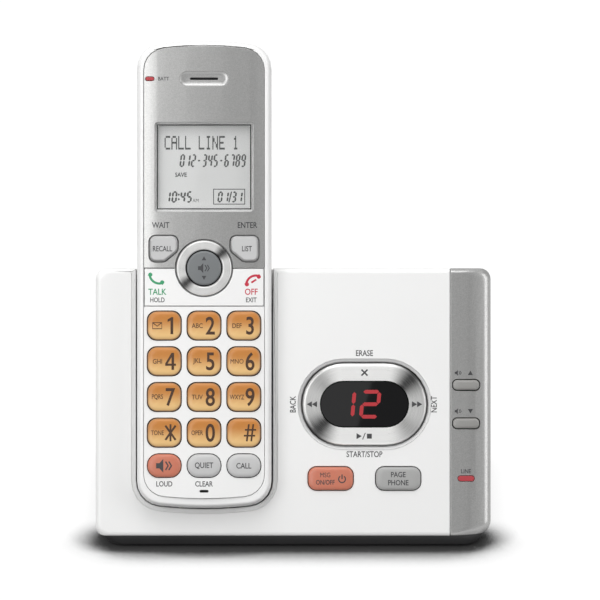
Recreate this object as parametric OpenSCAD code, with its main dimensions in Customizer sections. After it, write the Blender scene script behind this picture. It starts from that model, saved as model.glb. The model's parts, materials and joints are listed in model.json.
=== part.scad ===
/* [Base] */
// Lean of the front face back from upright, in degrees
lean = 25; // [18:0.5:32]
// Height of the front face, measured along the lean
base_h = 99.5; // [92:0.5:125]
// Front face to the left of the handset's channel
cradle_margin = 14.9; // [12:0.1:22]
// Front face between the channel and the oval key ring
ring_margin_left = 10.7; // [9:0.1:20]
// Front face between the oval key ring and the end panel
ring_margin_right = 8.5; // [7:0.1:16]
// Width of the silver end panel
end_panel_w = 15.2; // [14:0.1:22]
// Corner radius of the front face
face_corner_r = 4; // [2.5:0.1:7]
// Rounding of the face's edges
face_edge_r = 2; // [1:0.1:3]
// Sideways reach of the end panel's rounding
end_round_w = 9; // [6:0.1:10]
// Depth of the end panel's rounding
end_round_d = 3.2; // [2.4:0.1:6]
// How far the sides draw in toward the back
shell_draft = 0.4; // [0.2:0.1:0.9]
// Rounding of the rear edge along the top
rear_edge_r = 1.5; // [1:0.1:2.5]
// How far the back splays out from the top to the foot
back_splay = 22; // [14:0.5:30]
// Corner radius of the foot at the back
foot_corner_r = 8; // [5:0.1:12]
// Wall of the white and silver shells
base_wall = 2.4; // [2:0.1:3]
// Height of the dark tray that the shells stand on
tray_h = 4.8; // [4.6:0.1:7]
// Tray set in from the shells
tray_inset = 2; // [1.6:0.1:2.2]
// Floor of the tray
tray_floor = 2; // [1.8:0.1:2.6]
// Diameter of a rubber foot
foot_d = 10; // [7:0.5:13]
// Height of a foot below the tray
foot_h = 1.2; // [0.8:0.1:2]
// Depth that a foot is sunk in the tray
foot_sunk = 0.9; // [0.6:0.1:1.1]

/* [Base controls] */
// Width of the oval key ring
ring_w = 46.2; // [42:0.1:52]
// Height of the oval key ring
ring_h = 30.5; // [28:0.1:34]
// Band of the oval key ring
ring_band = 6.6; // [5:0.1:7]
// Rise of the ring above the face
ring_rise = 1.2; // [0.8:0.1:2]
// Width of the slope round the ring's opening
ring_lip_w = 1.2; // [0.6:0.1:2]
// Depth of the slope round the ring's opening
ring_lip_d = 0.5; // [0.3:0.1:0.9]
// Width of the answer and locator keys
base_key_w = 16.5; // [13:0.1:19]
// Height of the answer and locator keys
base_key_h = 8.5; // [6:0.1:10]
// Gap between the answer and locator keys
base_key_gap = 8.5; // [5:0.1:12]
// Bottom of the answer and locator keys above the face's lower edge
base_key_v = 17.4; // [16:0.1:20]
// Corner radius of the answer and locator keys
base_key_r = 3; // [2:0.1:3]
// Space from those keys up to the ring
ring_gap = 8; // [5:0.1:12]
// Rise of the base's keys above the face
base_key_rise = 1.3; // [0.8:0.1:2]
// Width of a volume key
volume_w = 9.7; // [8:0.1:10.8]
// Height of a volume key
volume_h = 3.7; // [3.3:0.1:6]
// Corner radius of a volume key
volume_r = 1.5; // [1:0.1:1.6]
// Distance between the volume keys
volume_pitch = 14.2; // [10:0.1:20]
// Rise of the volume keys above the face
volume_rise = 0.9; // [0.5:0.1:1.5]
// Width of the in-use light
light_w = 6; // [4:0.1:8]
// Height of the in-use light
light_h = 1.9; // [1.4:0.1:3]

/* [Handset] */
// Thickness of the handset, back to front
handset_t = 26.6; // [25.5:0.1:30]
// Depth that the handset sinks into the base
cradle_depth = 18; // [16.5:0.1:19]
// Height of the cradle's floor on the face
cradle_floor_v = 10.3; // [9.8:0.1:14]
// Width of the slope round the channel's mouth
lip_w = 1.6; // [1:0.1:2.2]
// Depth of the slope round the channel's mouth
lip_d = 0.9; // [0.6:0.1:2]
// White rim beside the front panel
rim_w = 2.6; // [2:0.1:4]
// White rim above the panel
rim_top = 2; // [1.6:0.1:4]
// White rim below the panel
rim_bottom = 3.7; // [3:0.1:6]
// Flat crest of the rim beside the panel
rim_flat = 0.9; // [0.5:0.1:1.2]
// Depth of the rounding outside the rim
rim_round = 3.5; // [2:0.1:5]
// Sideways reach of the rounding at the handset's back
back_round_w = 7; // [4:0.1:7.5]
// Depth of the rounding at the handset's back
back_round_d = 7; // [5:0.1:9]
// Radius of the handset's top edge
top_r = 125; // [90:1:200]
// Radius of the handset's bottom edge
bottom_r = 150; // [100:1:250]
// Radius of the handset's corners
handset_corner_r = 9; // [7.5:0.1:11]
// Radius of the crown across the front panel
crown_r = 320; // [200:5:600]
// Wall of the handset's cases
case_wall = 1.9; // [1.6:0.1:2.2]
// Thickness of the front panel's plates
plate_t = 1.6; // [1.3:0.1:1.9]

/* [Handset keys] */
// Width of a dial key
key_w = 12.3; // [11:0.1:14]
// Height of a dial key
key_h = 10.5; // [9:0.1:13]
// Gap between columns of keys
key_gap_u = 2.35; // [1.8:0.05:4]
// Gap between rows of keys
key_gap_v = 2.65; // [1.8:0.05:4]
// Panel beside the keys
key_margin = 1.4; // [1.3:0.05:4]
// Height of the keys in the bottom row
function_key_h = 8.5; // [6.5:0.1:11]
// Panel below the bottom row
chin_h = 7.8; // [7:0.1:14]
// Corner radius of the dial keys
key_r = 3.2; // [2:0.1:4]
// Corner radius of the keys in the bottom row
function_key_r = 4; // [2:0.1:4.2]
// Sideways reach of a key's rounded edge
key_edge_w = 1.6; // [0.8:0.1:2]
// Depth of a key's rounded edge
key_edge_h = 1; // [0.6:0.1:1.4]
// Rise of the keys above the panel's edge
key_rise = 1.5; // [1:0.1:2.2]
// Travel of a key
key_travel = 0.8; // [0.5:0.05:0.9]
// Height of the call bar
call_h = 13.9; // [12:0.1:17]
// Panel between the dial keys and the call bar
call_gap = 2.05; // [1.6:0.05:3.5]
// Outer diameter of the round control's trim ring
nav_ring_d = 20.6; // [18.5:0.1:22]
// Diameter of the round control
nav_disc_d = 12.7; // [10:0.1:14]
// Width of a soft key along its top
soft_w = 10.2; // [8:0.1:10.6]
// Height of a soft key
soft_h = 9.3; // [8:0.1:12]
// Slant of a soft key's inner side
soft_slant = 3.4; // [1.5:0.1:4]
// Corner radius of a soft key
soft_r = 2.1; // [1:0.1:2.6]
// Panel outside the soft keys
soft_margin = 2.2; // [1.7:0.1:3]
// Panel between the call bar and the soft keys
soft_gap = 2.5; // [1.8:0.1:4]

/* [Handset display and sound] */
// Panel beside the display window
window_margin = 4.2; // [3.5:0.1:8]
// Height of the display window
window_h = 32.6; // [26:0.1:40]
// Panel between the soft keys and the window
window_gap = 9.2; // [8.5:0.1:14]
// From the window up to the earpiece slot
ear_gap = 16.2; // [13:0.1:22]
// From the earpiece slot up to the panel's top
ear_top = 12.1; // [11.8:0.1:16]
// Width of the earpiece slot
ear_slot_w = 10.4; // [7:0.1:14]
// Height of the earpiece slot
ear_slot_h = 0.9; // [0.6:0.1:1.6]
// Width of the dish round the earpiece slot
ear_dish_w = 18; // [15.5:0.1:20]
// Height of the dish round the earpiece slot
ear_dish_h = 5.2; // [4:0.1:7]
// Diameter of the earpiece
earpiece_d = 19; // [14:0.5:20]
// Diameter of the loudspeaker in the handset's back
loudspeaker_d = 28; // [22:0.5:32]
// Width of the charge light
charge_light_w = 3.1; // [2:0.1:4]
// Height of the charge light
charge_light_h = 1.3; // [1:0.1:2]
// Width of the microphone hole
mic_slot_w = 3.3; // [2:0.1:5]
// Height of the microphone hole
mic_slot_h = 1; // [0.8:0.1:1.4]
// Microphone hole above the panel's lower edge
mic_gap = 2.6; // [2.4:0.1:3.2]

/* [Battery] */
// Diameter of one cell
cell_d = 10.6; // [9.8:0.1:10.9]
// Length of one cell
cell_l = 45; // [42:0.5:52]
// Width of the battery door
door_w = 38; // [34:0.5:39]
// Thickness of the battery door
door_t = 1.6; // [1.4:0.1:1.8]
// Travel of the battery door
door_travel = 8; // [5:0.5:9]

/* [Fits] */
// Gap round a soft key
soft_fit = 0.45; // [0.3:0.05:0.55]
// Gap round the round control's trim ring
nav_fit = 0.4; // [0.2:0.05:0.6]
// Gap round the handset in its channel
cradle_fit = 0.6; // [0.4:0.05:0.9]
// Gap round a key
key_fit = 0.3; // [0.25:0.05:0.45]
// Gap between fixed pieces
seat_fit = 0.15; // [0.1:0.05:0.3]

/* [Hidden] */
DIAL_KEYS = ["key_star", "key_0", "key_hash", "key_7", "key_8", "key_9", "key_4", "key_5", "key_6",
             "key_1", "key_2", "key_3"];
FUNCTION_KEYS = ["speaker_key", "mute_key", "intercom_key"];
$fn = 48;
corner_steps = 5;
far = 400;
// Depth of a cut through a shell's front, thickness of a slice in a lofted form, and sinking of joined solids
cut_d = 9;
slice_t = 0.5;
weld = 0.3;

// Handset outline, worked out from the keypad and the panel above it
panel_w = 3 * key_w + 2 * key_gap_u + 2 * key_margin;
panel_corner_r = handset_corner_r - 1;
handset_w = panel_w + 2 * rim_w;
mic_v = rim_bottom + mic_gap;
function_key_v = rim_bottom + chin_h + function_key_h / 2;
dial_v = function_key_v + function_key_h / 2 + key_gap_v + key_h / 2;
row_pitch = key_h + key_gap_v;
column_pitch = key_w + key_gap_u;
call_v = dial_v + 3 * row_pitch + key_h / 2 + call_gap;
call_top = call_v + call_h;
call_mid = call_v + call_h / 2;
soft_u = panel_w / 2 - soft_margin;
soft_v = call_top + soft_gap;
window_w = panel_w - 2 * window_margin;
window_v = soft_v + soft_h + window_gap;
window_mid = window_v + window_h / 2;
ear_v = window_v + window_h + ear_gap;
panel_top_v = ear_v + ear_top;
handset_h = panel_top_v + rim_top;

// Levels in the handset, measured out from the base's face
crown_rise = panel_w * panel_w / (8 * crown_r);
crown_a = asin(0.6 * panel_w / crown_r);
handset_top = handset_t - cradle_depth;
panel_edge = handset_top - crown_rise;
plate_seat = panel_edge - plate_t;
seat_t = 1.5;
front_wall = plate_seat - seat_t;
board_t = 1.6;
board_gap = 1.3;
board_top = front_wall - board_gap;
mat_t = 1;
mat_top = board_top + mat_t;
travel_fit = 0.2;
rock_fit = 0.7;
key_bottom = mat_top + key_travel + travel_fit;
key_flange_t = 0.5;
key_flange = 0.6;
parting = -4;
back_skin = 3.8;
cavity_floor = -cradle_depth + back_skin;
rim_drop = 0.1;
// Each slice of a case has its level and how far it is drawn in
front_slices = [for (t = [0:30:90])
    [panel_edge - rim_drop - rim_round * (1 - sin(t)), (rim_w - rim_flat) * (1 - cos(t))]];
back_slices = [for (t = [0:22.5:90])
    [-cradle_depth + back_round_d * (1 - sin(t)), back_round_w * (1 - cos(t))]];

// Base sizes that follow from the handset and the controls
channel_w = handset_w + 2 * cradle_fit;
control_w = ring_margin_left + ring_w + ring_margin_right;
base_w = cradle_margin + channel_w + control_w + end_panel_w;
seam_u = base_w / 2 - end_panel_w;
handset_u = -base_w / 2 + cradle_margin + channel_w / 2;
handset_v = cradle_floor_v + cradle_fit;
channel_side_u = handset_u + channel_w / 2 + base_wall;
ring_u = seam_u - ring_margin_right - ring_w / 2;
base_key_mid = base_key_v + base_key_h / 2;
ring_v = base_key_v + base_key_h + ring_gap + ring_h / 2;
volume_margin = 0.7;
volume_u = seam_u + seat_fit + volume_margin + key_fit + volume_w / 2;
cradle_back = 3;
top_depth = cradle_depth + cradle_fit + base_wall + cradle_back;
base_z = foot_h + tray_h;
base_d = base_h * sin(lean) + top_depth * cos(lean) + back_splay;
toe_in = 2;
foot_draw_in = 1;
// The origin is under the middle of the whole object, on the desk
front_reach = min(concat([0], [for (s = front_slices) depth_at(handset_v + s[1], s[0])]));
back_reach = max(concat([base_d], [for (s = back_slices) depth_at(handset_v + handset_h - s[1], s[0])]));
face_y = -(front_reach + back_reach) / 2;

// Base insides
base_board_w = -10;
board_margin = 3;
board_top_margin = 9;
board_hole_r = 0.8;
base_mat_t = 1.2;
mat_margin = 1.5;
base_key_bottom = -4;
base_key_flange = 1;
base_key_flange_t = 0.9;
base_key_edge_w = 1.2;
base_key_edge_h = 0.9;
stem_r = 1.5;
stem_fit = 0.3;
base_stem_end = base_board_w + base_mat_t + key_travel + stem_fit;
volume_flange = -base_wall - end_round_d + stem_fit;
volume_flange_t = 0.7;
volume_edge_w = 0.9;
volume_edge_h = 0.7;
light_proud = 0.2;
post_r = 2;
post_fit = 0.6;
post_low_v = base_key_v - base_key_flange - post_fit - post_r;
post_high_v = base_h - board_top_margin - 2 * post_r;
post_gap = 1;
screw_side_gap = 12;
screw_back_gap = 16;
boss_overlap = 0.4;
post_left_u = channel_side_u + post_fit + post_r + post_gap;
right_screw_x = seam_u - screw_side_gap;
post_places = [for (u = [post_left_u, right_screw_x], v = [post_low_v, post_high_v]) [u, v]];
boss_r = 3.4;
boss_cap = 1.2;
screw_r = 1.25;
screw_head_r = 2.4;
screw_head_h = 1;
screw_l = 11;
screw_spare = 1.5;
screw_fit = 0.05;
screw_room = 0.15;
head_fit = 0.4;
head_sunk = 0.2;
recess_l = 3.2;
recess_w = 0.6;
recess_d = 0.6;
tray_wall = 2.6;
tray_rim = 1.5;
tray_draft = 1.2;
tray_boss_room = 0.05;
front_screw_y = 9;
back_screw_y = base_d - screw_back_gap;
left_screw_x = -base_w / 2 + cradle_margin - base_wall - boss_r + boss_overlap;
screw_places = [for (x = [left_screw_x, right_screw_x], y = [front_screw_y, back_screw_y]) [x, y]];
foot_side_gap = 9;
foot_front_gap = 15;
foot_back_gap = 22;
foot_side = foot_d / 2 + foot_side_gap;
foot_front = foot_d / 2 + foot_front_gap;
foot_back = foot_d / 2 + foot_back_gap;
foot_edge = 0.5;
foot_places = [for (x = [foot_side - base_w / 2, base_w / 2 - foot_side],
                    y = [foot_front, base_d - foot_back]) [x, y]];
speaker_d = 38;
speaker_h = 8;
speaker_rim = 3;
speaker_rim_t = 1.5;
cone_d = 2.2;
speaker_shift = 4;
speaker_x = ring_u - speaker_shift;
speaker_y = base_d / 2 + speaker_shift;
slot_w = 1.8;
slot_pitch = 4;
slot_margin = 4;
slots_each_way = 3;
jack_h = 12;
jack_lift = 8;
jack_z = base_z + jack_lift;
jack_wall = 2;
jack_seat_d = 4;
jack_sunk = 3;
jack_gap = 1.2;
jack_spacing = 10;
jack_face_y = base_d - back_splay * (jack_h + jack_sunk) / (base_h * cos(lean)) - jack_sunk;
line_w = 13.5;
line_d = 15;
line_slot_w = 9.7;
line_slot_h = 6.6;
line_slot_d = 11.5;
latch_w = 6;
latch_h = 1.8;
line_x = right_screw_x - boss_r - jack_gap - line_w / 2;
power_w = 9.5;
power_d = 13;
power_bore_d = 5.6;
power_bore_depth = 10;
power_pin_d = 2;
power_x = line_x - line_w / 2 - jack_spacing - power_w / 2;
tab_reach = 4;
tab_root = 2;
tab_h = 9;
tab_t = 1.8;
tab_web = 0.5;
tab_places = [base_key_mid + base_key_h / 2, base_h - board_top_margin - tab_h];

// Charging contacts
contact_size = [6, 1, 5];
contact_v = 1.2;
contact_hole_d = 10;
pin_r = 1.2;
pin_spread = 9;
pin_w = -10;
pin_l = 6.5;
pin_collar_r = 2;
pin_collar_t = 1;
pin_collar = -cradle_fit - base_wall - stem_fit;
pin_tip = contact_v - stem_fit;

// Oval key ring with the message counter inside it
lens_w = ring_w - 2 * ring_band - 2 * key_fit;
lens_h = ring_h - 2 * ring_band - 2 * key_fit;
lens_wall = 1.5;
lens_proud = 0.5;
lens_front = 1;
led_gap = 0.3;
led_corner_r = 0.8;
tilt_fit = 0.1;
ring_hole_w = ring_w + 2 * (key_fit + tilt_fit);
ring_hole_h = ring_h + 2 * (key_fit + tilt_fit);
ring_edge_w = 1.5;
ring_edge_h = 1.1;
ring_flange = 1.1;
ring_flange_top = -3.6;
ring_flange_t = 1;
pad_gap = 0.9;
pad_t = 2.1;
pad_inset = 1;
pad_bore_fit = 2;
pad_top = ring_flange_top - ring_flange_t - pad_gap;

// Handset insides
pin_post_r = 1.5;
pin_post_spread = 14;
pin_post_drop = 7;
case_screw_side = 5;
case_screw_drop = 4.6;
case_screw_u = panel_w / 2 - case_screw_side;
case_screw_v = window_v - case_screw_drop;
case_boss_r = 2.6;
case_screw_r = 1;
case_head_r = 2;
case_head_h = 1.4;
boss_wall = 0.5;
back_wall_extra = 1;
back_wall = case_wall + back_wall_extra;
case_board_gap = 0.9;
key_mat_edge = 1;
key_mat_r = 2;
bay_wall = 1.5;
bay_gap = 0.5;
bay_rise = 16;
bay_v = rim_bottom + chin_h + bay_rise;
bay_w = 2 * cell_d + 2 * bay_gap;
bay_l = cell_l + 2 * bay_gap;
cell_overlap = 0.1;
door_margin = 6;
door_v = door_travel + door_margin;
door_top = case_screw_v + door_margin;
door_gap = 0.3;
door_rib = 1.1;
door_seat = -cradle_depth + door_t + door_gap;
bay_floor = door_seat + door_rib + cell_d + door_gap;
loudspeaker_drop = 22;
loudspeaker_v = ear_v - loudspeaker_drop;
loudspeaker_h = 5;
loudspeaker_rim = 2;
sound_slot_w = 15;
sound_slot_h = 1.3;
sound_slot_pitch = 3.2;
sound_slots_each_way = 2;
earpiece_h = 4.2;
ear_room = 1.1;
dish_drop = 0.5;
mic_r = 2.4;
lcd_border = 1;
lcd_gap = 0.2;
window_sunk = 0.1;
window_r = 1;
window_ledge = 1;
light_rise = 0.15;
light_margin = 0.65;
charge_light_u = -panel_w / 2 + charge_light_w / 2 + light_margin;
key_window_u = column_pitch + key_w / 2 + key_flange + key_fit;
key_window_edge = 1.2;
call_window_edge = 0.8;
call_stem_side = 6;
call_stem_u = panel_w / 2 - call_stem_side;
call_stem_r = 2;
call_hole_r = 3;
soft_flange = 0.6;
soft_hole_grow = 0.9;
soft_step = 0.5;
soft_step_h = 0.4;
soft_drop = 0.2;
nav_chamfer = 0.8;
nav_ring_rise = 0.6;
nav_disc_rise = 1.1;
nav_edge_r = 0.8;
nav_crown = 0.2;
nav_bore_r = nav_disc_d / 2 + key_fit;

white = [0.93, 0.93, 0.92];
silver = [0.72, 0.73, 0.74];
charcoal = [0.2, 0.2, 0.21];
black = [0.1, 0.1, 0.11];
amber = [0.95, 0.65, 0.2];
salmon = [0.9, 0.42, 0.3];
grey = [0.75, 0.76, 0.77];
rubber_grey = [0.55, 0.55, 0.58];
board_green = [0.1, 0.35, 0.2];

function depth_at(v, w) = v * sin(lean) - w * cos(lean);
function arc(x, y, r, from, to, steps) =
    [for (i = [0:steps]) let (a = from + (to - from) * i / steps) [x + r * cos(a), y + r * sin(a)]];
// Rounded box between a left, right, bottom and top edge
function box_outline(left, right, bottom, top, r) = concat(
    arc(right - r, top - r, r, 0, 90, corner_steps), arc(left + r, top - r, r, 90, 180, corner_steps),
    arc(left + r, bottom + r, r, 180, 270, corner_steps),
    arc(right - r, bottom + r, r, 270, 360, corner_steps));
function rounded_box(w, h, r) = box_outline(-w / 2, w / 2, -h / 2, h / 2, r);
// Half circles joined by straight sides
function stadium(w, h) = concat(
    arc(w / 2 - h / 2, 0, h / 2, -90, 90, 16), arc(h / 2 - w / 2, 0, h / 2, 90, 270, 16));
// Straight sides, arched top and bottom and round corners, drawn in all round by inset
function arched_outline(w, bottom, top, corner, inset) =
    let (r = corner - inset, cu = w / 2 - corner, tr = top_r - corner, br = bottom_r - corner,
         tv = top - top_r + sqrt(tr * tr - cu * cu), bv = bottom + bottom_r - sqrt(br * br - cu * cu),
         ta = asin(cu / tr), ba = asin(cu / br))
    concat(arc(cu, tv, r, 0, 90 - ta, corner_steps), arc(0, top - top_r, top_r - inset, 90 - ta, 90 + ta, 6),
           arc(-cu, tv, r, 90 + ta, 180, corner_steps), arc(-cu, bv, r, 180, 270 - ba, corner_steps),
           arc(0, bottom + bottom_r, bottom_r - inset, 270 - ba, 270 + ba, 6),
           arc(cu, bv, r, 270 + ba, 360, corner_steps));
function handset_outline(inset) = arched_outline(handset_w, 0, handset_h, handset_corner_r, inset);
function panel_outline(inset) = arched_outline(panel_w, rim_bottom, panel_top_v, panel_corner_r, inset);
function base_key_u(side) = ring_u + side * (base_key_w + base_key_gap) / 2;
// Front bosses end below the base's keys, and back bosses run up into the back
function boss_top(y) = y < base_d / 2 ? screw_l + boss_cap : base_h;

module on_face() translate([0, face_y, base_z]) rotate([90 - lean, 0, 0]) children();
module on_handset() on_face() translate([handset_u, handset_v, 0]) children();
module on_desk() translate([0, face_y, 0]) children();
module at(u, v) translate([u, v, 0]) children();
module both_sides(u, v) for (side = [-1, 1]) at(side * u, v) children();
module plate(outline, from, to) translate([0, 0, from]) linear_extrude(to - from) polygon(outline);
module slab(u0, u1, v0, v1, w0, w1) translate([u0, v0, w0]) cube([u1 - u0, v1 - v0, w1 - w0]);
module rod(r, from, to) translate([0, 0, from]) cylinder(r = r, h = to - from);
// Button with rounded upper edges
module button(w, h, r, from, to, edge_w, edge_h) hull() for (t = [0:30:90]) let (in = edge_w * (1 - cos(t)))
    plate(rounded_box(w - 2 * in, h - 2 * in, r - in / 2), from, to - edge_h * (1 - sin(t)));
// Crossed slots in a screw's head
module cross_recess(from, to) for (turn = [0, 90]) rotate(turn)
    slab(-recess_l / 2, recess_l / 2, -recess_w / 2, recess_w / 2, from, to);

// Base shells
// One wedge for both shells: an edge-rounded face, a square top and a splayed back
module base_form(inset) hull() {
    left = -base_w / 2 + inset;
    right = base_w / 2 - inset;
    top = base_h - inset;
    rear = -top_depth + inset;
    on_face() {
        for (t = [0:30:90]) let (in = face_edge_r * (1 - cos(t)), w = -face_edge_r * (1 - sin(t)) - inset)
            plate(box_outline(left + in, right - end_round_w, in - inset, top - in, face_corner_r),
                  w - slice_t, w);
        for (t = [0:22.5:90]) let (in = end_round_w * (1 - cos(t)), w = -end_round_d * (1 - sin(t)) - inset)
            plate(box_outline(left + face_edge_r, right - in, face_edge_r - inset,
                              top - face_edge_r * (1 - cos(t)), face_corner_r), w - slice_t, w);
        plate(box_outline(left + shell_draft, right - shell_draft, 2 * face_corner_r, top - shell_draft,
                          face_corner_r), rear + rear_edge_r, -top_depth / 2);
        plate(box_outline(left + rear_edge_r, right - rear_edge_r, top_depth, top - rear_edge_r, face_corner_r),
              rear, -top_depth / 2);
    }
    on_desk() plate(box_outline(left + foot_draw_in, right - foot_draw_in, inset + toe_in, base_d - inset,
                                foot_corner_r), base_z - toe_in - inset, base_z + slice_t);
}
module below_shells() translate([-far / 2, -far / 2, base_z - far]) cube(far);
module left_of(u) translate([u - far, -far / 2, -far / 2]) cube(far);
module right_of(u) translate([u, -far / 2, -far / 2]) cube(far);
module channel(grow, from, to) on_handset() plate(handset_outline(-grow), from, to);
module channel_lip() on_handset() hull() {
    plate(handset_outline(0), -lip_d - slice_t, -lip_d);
    plate(handset_outline(-cradle_fit - lip_w), -rim_drop, slice_t);
}
module at_screws() on_desk() for (p = screw_places) translate([p[0], p[1], 0]) children();
module jack_window(x, w) translate([x - w / 2 - seat_fit, jack_face_y - jack_seat_d - 1, jack_z - seat_fit])
    cube([w + 2 * seat_fit, far, jack_h + 2 * seat_fit]);
module jack_surround()
    translate([power_x - power_w / 2 - jack_wall, jack_face_y - jack_seat_d, jack_z - jack_wall])
        cube([line_x - power_x + (line_w + power_w) / 2 + 2 * jack_wall, far, jack_h + 2 * jack_wall]);
module key_hole(u, v, w, h, r) at(u, v)
    plate(rounded_box(w + 2 * key_fit, h + 2 * key_fit, r + key_fit), -cut_d, cut_d);
module ring_hole() at(ring_u, ring_v)
    plate(stadium(ring_hole_w, ring_hole_h), -cut_d, cut_d);
module ring_lip() at(ring_u, ring_v) hull() {
    plate(stadium(ring_w, ring_h), -ring_lip_d - slice_t, -ring_lip_d);
    plate(stadium(ring_hole_w + 2 * ring_lip_w, ring_hole_h + 2 * ring_lip_w), -rim_drop, slice_t);
}
module at_pin(side) on_handset() translate([side * pin_spread, 0, pin_w]) rotate([-90, 0, 0]) children();

module base_housing() color(white) difference() {
    intersection() {
        base_form(0);
        left_of(seam_u);
    }
    difference() {
        base_form(base_wall);
        channel(cradle_fit + base_wall, -cradle_depth - cradle_fit - base_wall, far / 4);
        on_face() for (p = post_places) at(p[0], p[1]) rod(post_r, base_board_w, 0);
        for (p = screw_places) on_desk() translate([p[0], p[1], base_z]) rod(boss_r, 0, boss_top(p[1]));
        on_desk() jack_surround();
    }
    channel(cradle_fit, -cradle_depth - cradle_fit, far / 4);
    channel_lip();
    below_shells();
    at_screws() rod(screw_r + screw_fit, 0, base_z + screw_l);
    on_desk() {
        jack_window(power_x, power_w);
        jack_window(line_x, line_w);
    }
    on_face() {
        ring_hole();
        ring_lip();
        for (side = [-1, 1]) key_hole(base_key_u(side), base_key_mid, base_key_w, base_key_h, base_key_r);
    }
    for (side = [-1, 1]) at_pin(side) rod(pin_r + key_fit, -cut_d, cut_d);
}

// The end panel closes the housing, and its tabs reach behind the housing's face
module end_tabs() on_face() for (v = tab_places) {
    slab(seam_u - tab_reach, seam_u + tab_root, v, v + tab_h,
         -base_wall - seat_fit - tab_t, -base_wall - seat_fit);
    slab(seam_u + tab_web, seam_u + tab_root + tab_web, v - tab_web, v + tab_h + tab_web,
         -base_wall - seat_fit - tab_t - tab_web, -base_wall / 2);
}
module base_end_panel() color(silver) difference() {
    union() {
        difference() {
            intersection() {
                base_form(0);
                right_of(seam_u + seat_fit);
            }
            base_form(base_wall);
        }
        end_tabs();
    }
    below_shells();
    on_face() {
        for (side = [-1, 1]) key_hole(volume_u, ring_v + side * volume_pitch / 2, volume_w, volume_h, volume_r);
        at(volume_u, base_key_mid)
            plate(stadium(light_w + 2 * seat_fit, light_h + 2 * seat_fit), -cut_d, cut_d);
    }
}

// Tray, feet and fasteners of the base
module footprint(inset, from, to) on_desk() plate(
    box_outline(inset - base_w / 2, base_w / 2 - inset, inset, base_d - inset, foot_corner_r - 1), from, to);
module sound_slots() on_desk() for (i = [-slots_each_way:slots_each_way])
    let (half = sqrt(pow(speaker_d / 2 - slot_margin, 2) - pow(i * slot_pitch, 2)))
    translate([speaker_x, speaker_y + i * slot_pitch, 0]) slab(-half, half, -slot_w / 2, slot_w / 2, 0, base_z);
module base_bottom() color(charcoal) difference() {
    hull() {
        footprint(tray_inset, base_z - tray_rim, base_z);
        footprint(tray_inset + tray_draft, foot_h, base_z);
    }
    difference() {
        footprint(tray_inset + tray_wall, foot_h + tray_floor, base_z + 1);
        at_screws() rod(boss_r, 0, base_z - tray_boss_room);
    }
    at_screws() {
        rod(screw_head_r + head_fit, 0, foot_h + screw_head_h + head_sunk);
        rod(screw_r + screw_room, 0, base_z + 1);
    }
    on_desk() for (p = foot_places)
        translate([p[0], p[1], 0]) rod(foot_d / 2 + seat_fit, 0, foot_h + foot_sunk);
    sound_slots();
}
module base_feet() color(black) on_desk() for (p = foot_places) translate([p[0], p[1], 0]) rotate_extrude()
    polygon([[0, 0], [foot_d / 2 - foot_edge, 0], [foot_d / 2, foot_edge], [foot_d / 2, foot_h + foot_sunk],
             [0, foot_h + foot_sunk]]);
module base_screws() color("silver") at_screws() translate([0, 0, foot_h + head_sunk]) difference() {
    union() {
        rod(screw_head_r, 0, screw_head_h);
        rod(screw_r, 0, base_z - foot_h + screw_l - screw_spare);
    }
    cross_recess(-1, recess_d);
}

// Electronics of the base
module base_board() color(board_green) on_face() difference() {
    slab(channel_side_u + post_fit, base_w / 2 - base_wall - board_margin, post_low_v - post_r,
         base_h - board_top_margin, base_board_w - board_t, base_board_w);
    for (p = post_places) at(p[0], p[1]) rod(board_hole_r, -far / 4, far / 4);
}
module base_speaker() color(charcoal) on_desk() translate([speaker_x, speaker_y, foot_h + tray_floor])
    rotate_extrude() polygon([
        [0, cone_d], [speaker_d / 2 - speaker_rim - cone_d, cone_d / 2], [speaker_d / 2 - speaker_rim, 0],
        [speaker_d / 2, 0], [speaker_d / 2, speaker_rim_t], [speaker_d / 4 + cone_d, speaker_h - speaker_rim],
        [speaker_d / 4, speaker_h], [0, speaker_h]]);
module at_jack(x) on_desk() translate([x, jack_face_y, jack_z + jack_h / 2]) rotate([90, 0, 0]) children();
module power_jack() color(charcoal) at_jack(power_x) {
    difference() {
        slab(-power_w / 2, power_w / 2, -jack_h / 2, jack_h / 2, 0, power_d);
        rod(power_bore_d / 2, -1, power_bore_depth);
    }
    rod(power_pin_d / 2, slice_t, power_bore_depth + weld);
}
module line_jack() color(charcoal) at_jack(line_x) difference() {
    slab(-line_w / 2, line_w / 2, -jack_h / 2, jack_h / 2, 0, line_d);
    slab(-line_slot_w / 2, line_slot_w / 2, -line_slot_h / 2, line_slot_h / 2, -1, line_slot_d);
    slab(-latch_w / 2, latch_w / 2, 0, line_slot_h / 2 + latch_h, -1, line_slot_d);
}
module charge_pin(side) color("gold") at_pin(side) rotate_extrude() polygon(concat(
    [[0, -pin_l], [pin_r, -pin_l], [pin_r, pin_collar - pin_collar_t],
     [pin_collar_r, pin_collar - pin_collar_t], [pin_collar_r, pin_collar], [pin_r, pin_collar]],
    arc(0, pin_tip - pin_r, pin_r, 0, 90, corner_steps)));
module charge_pin_left() charge_pin(-1);
module charge_pin_right() charge_pin(1);

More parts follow.
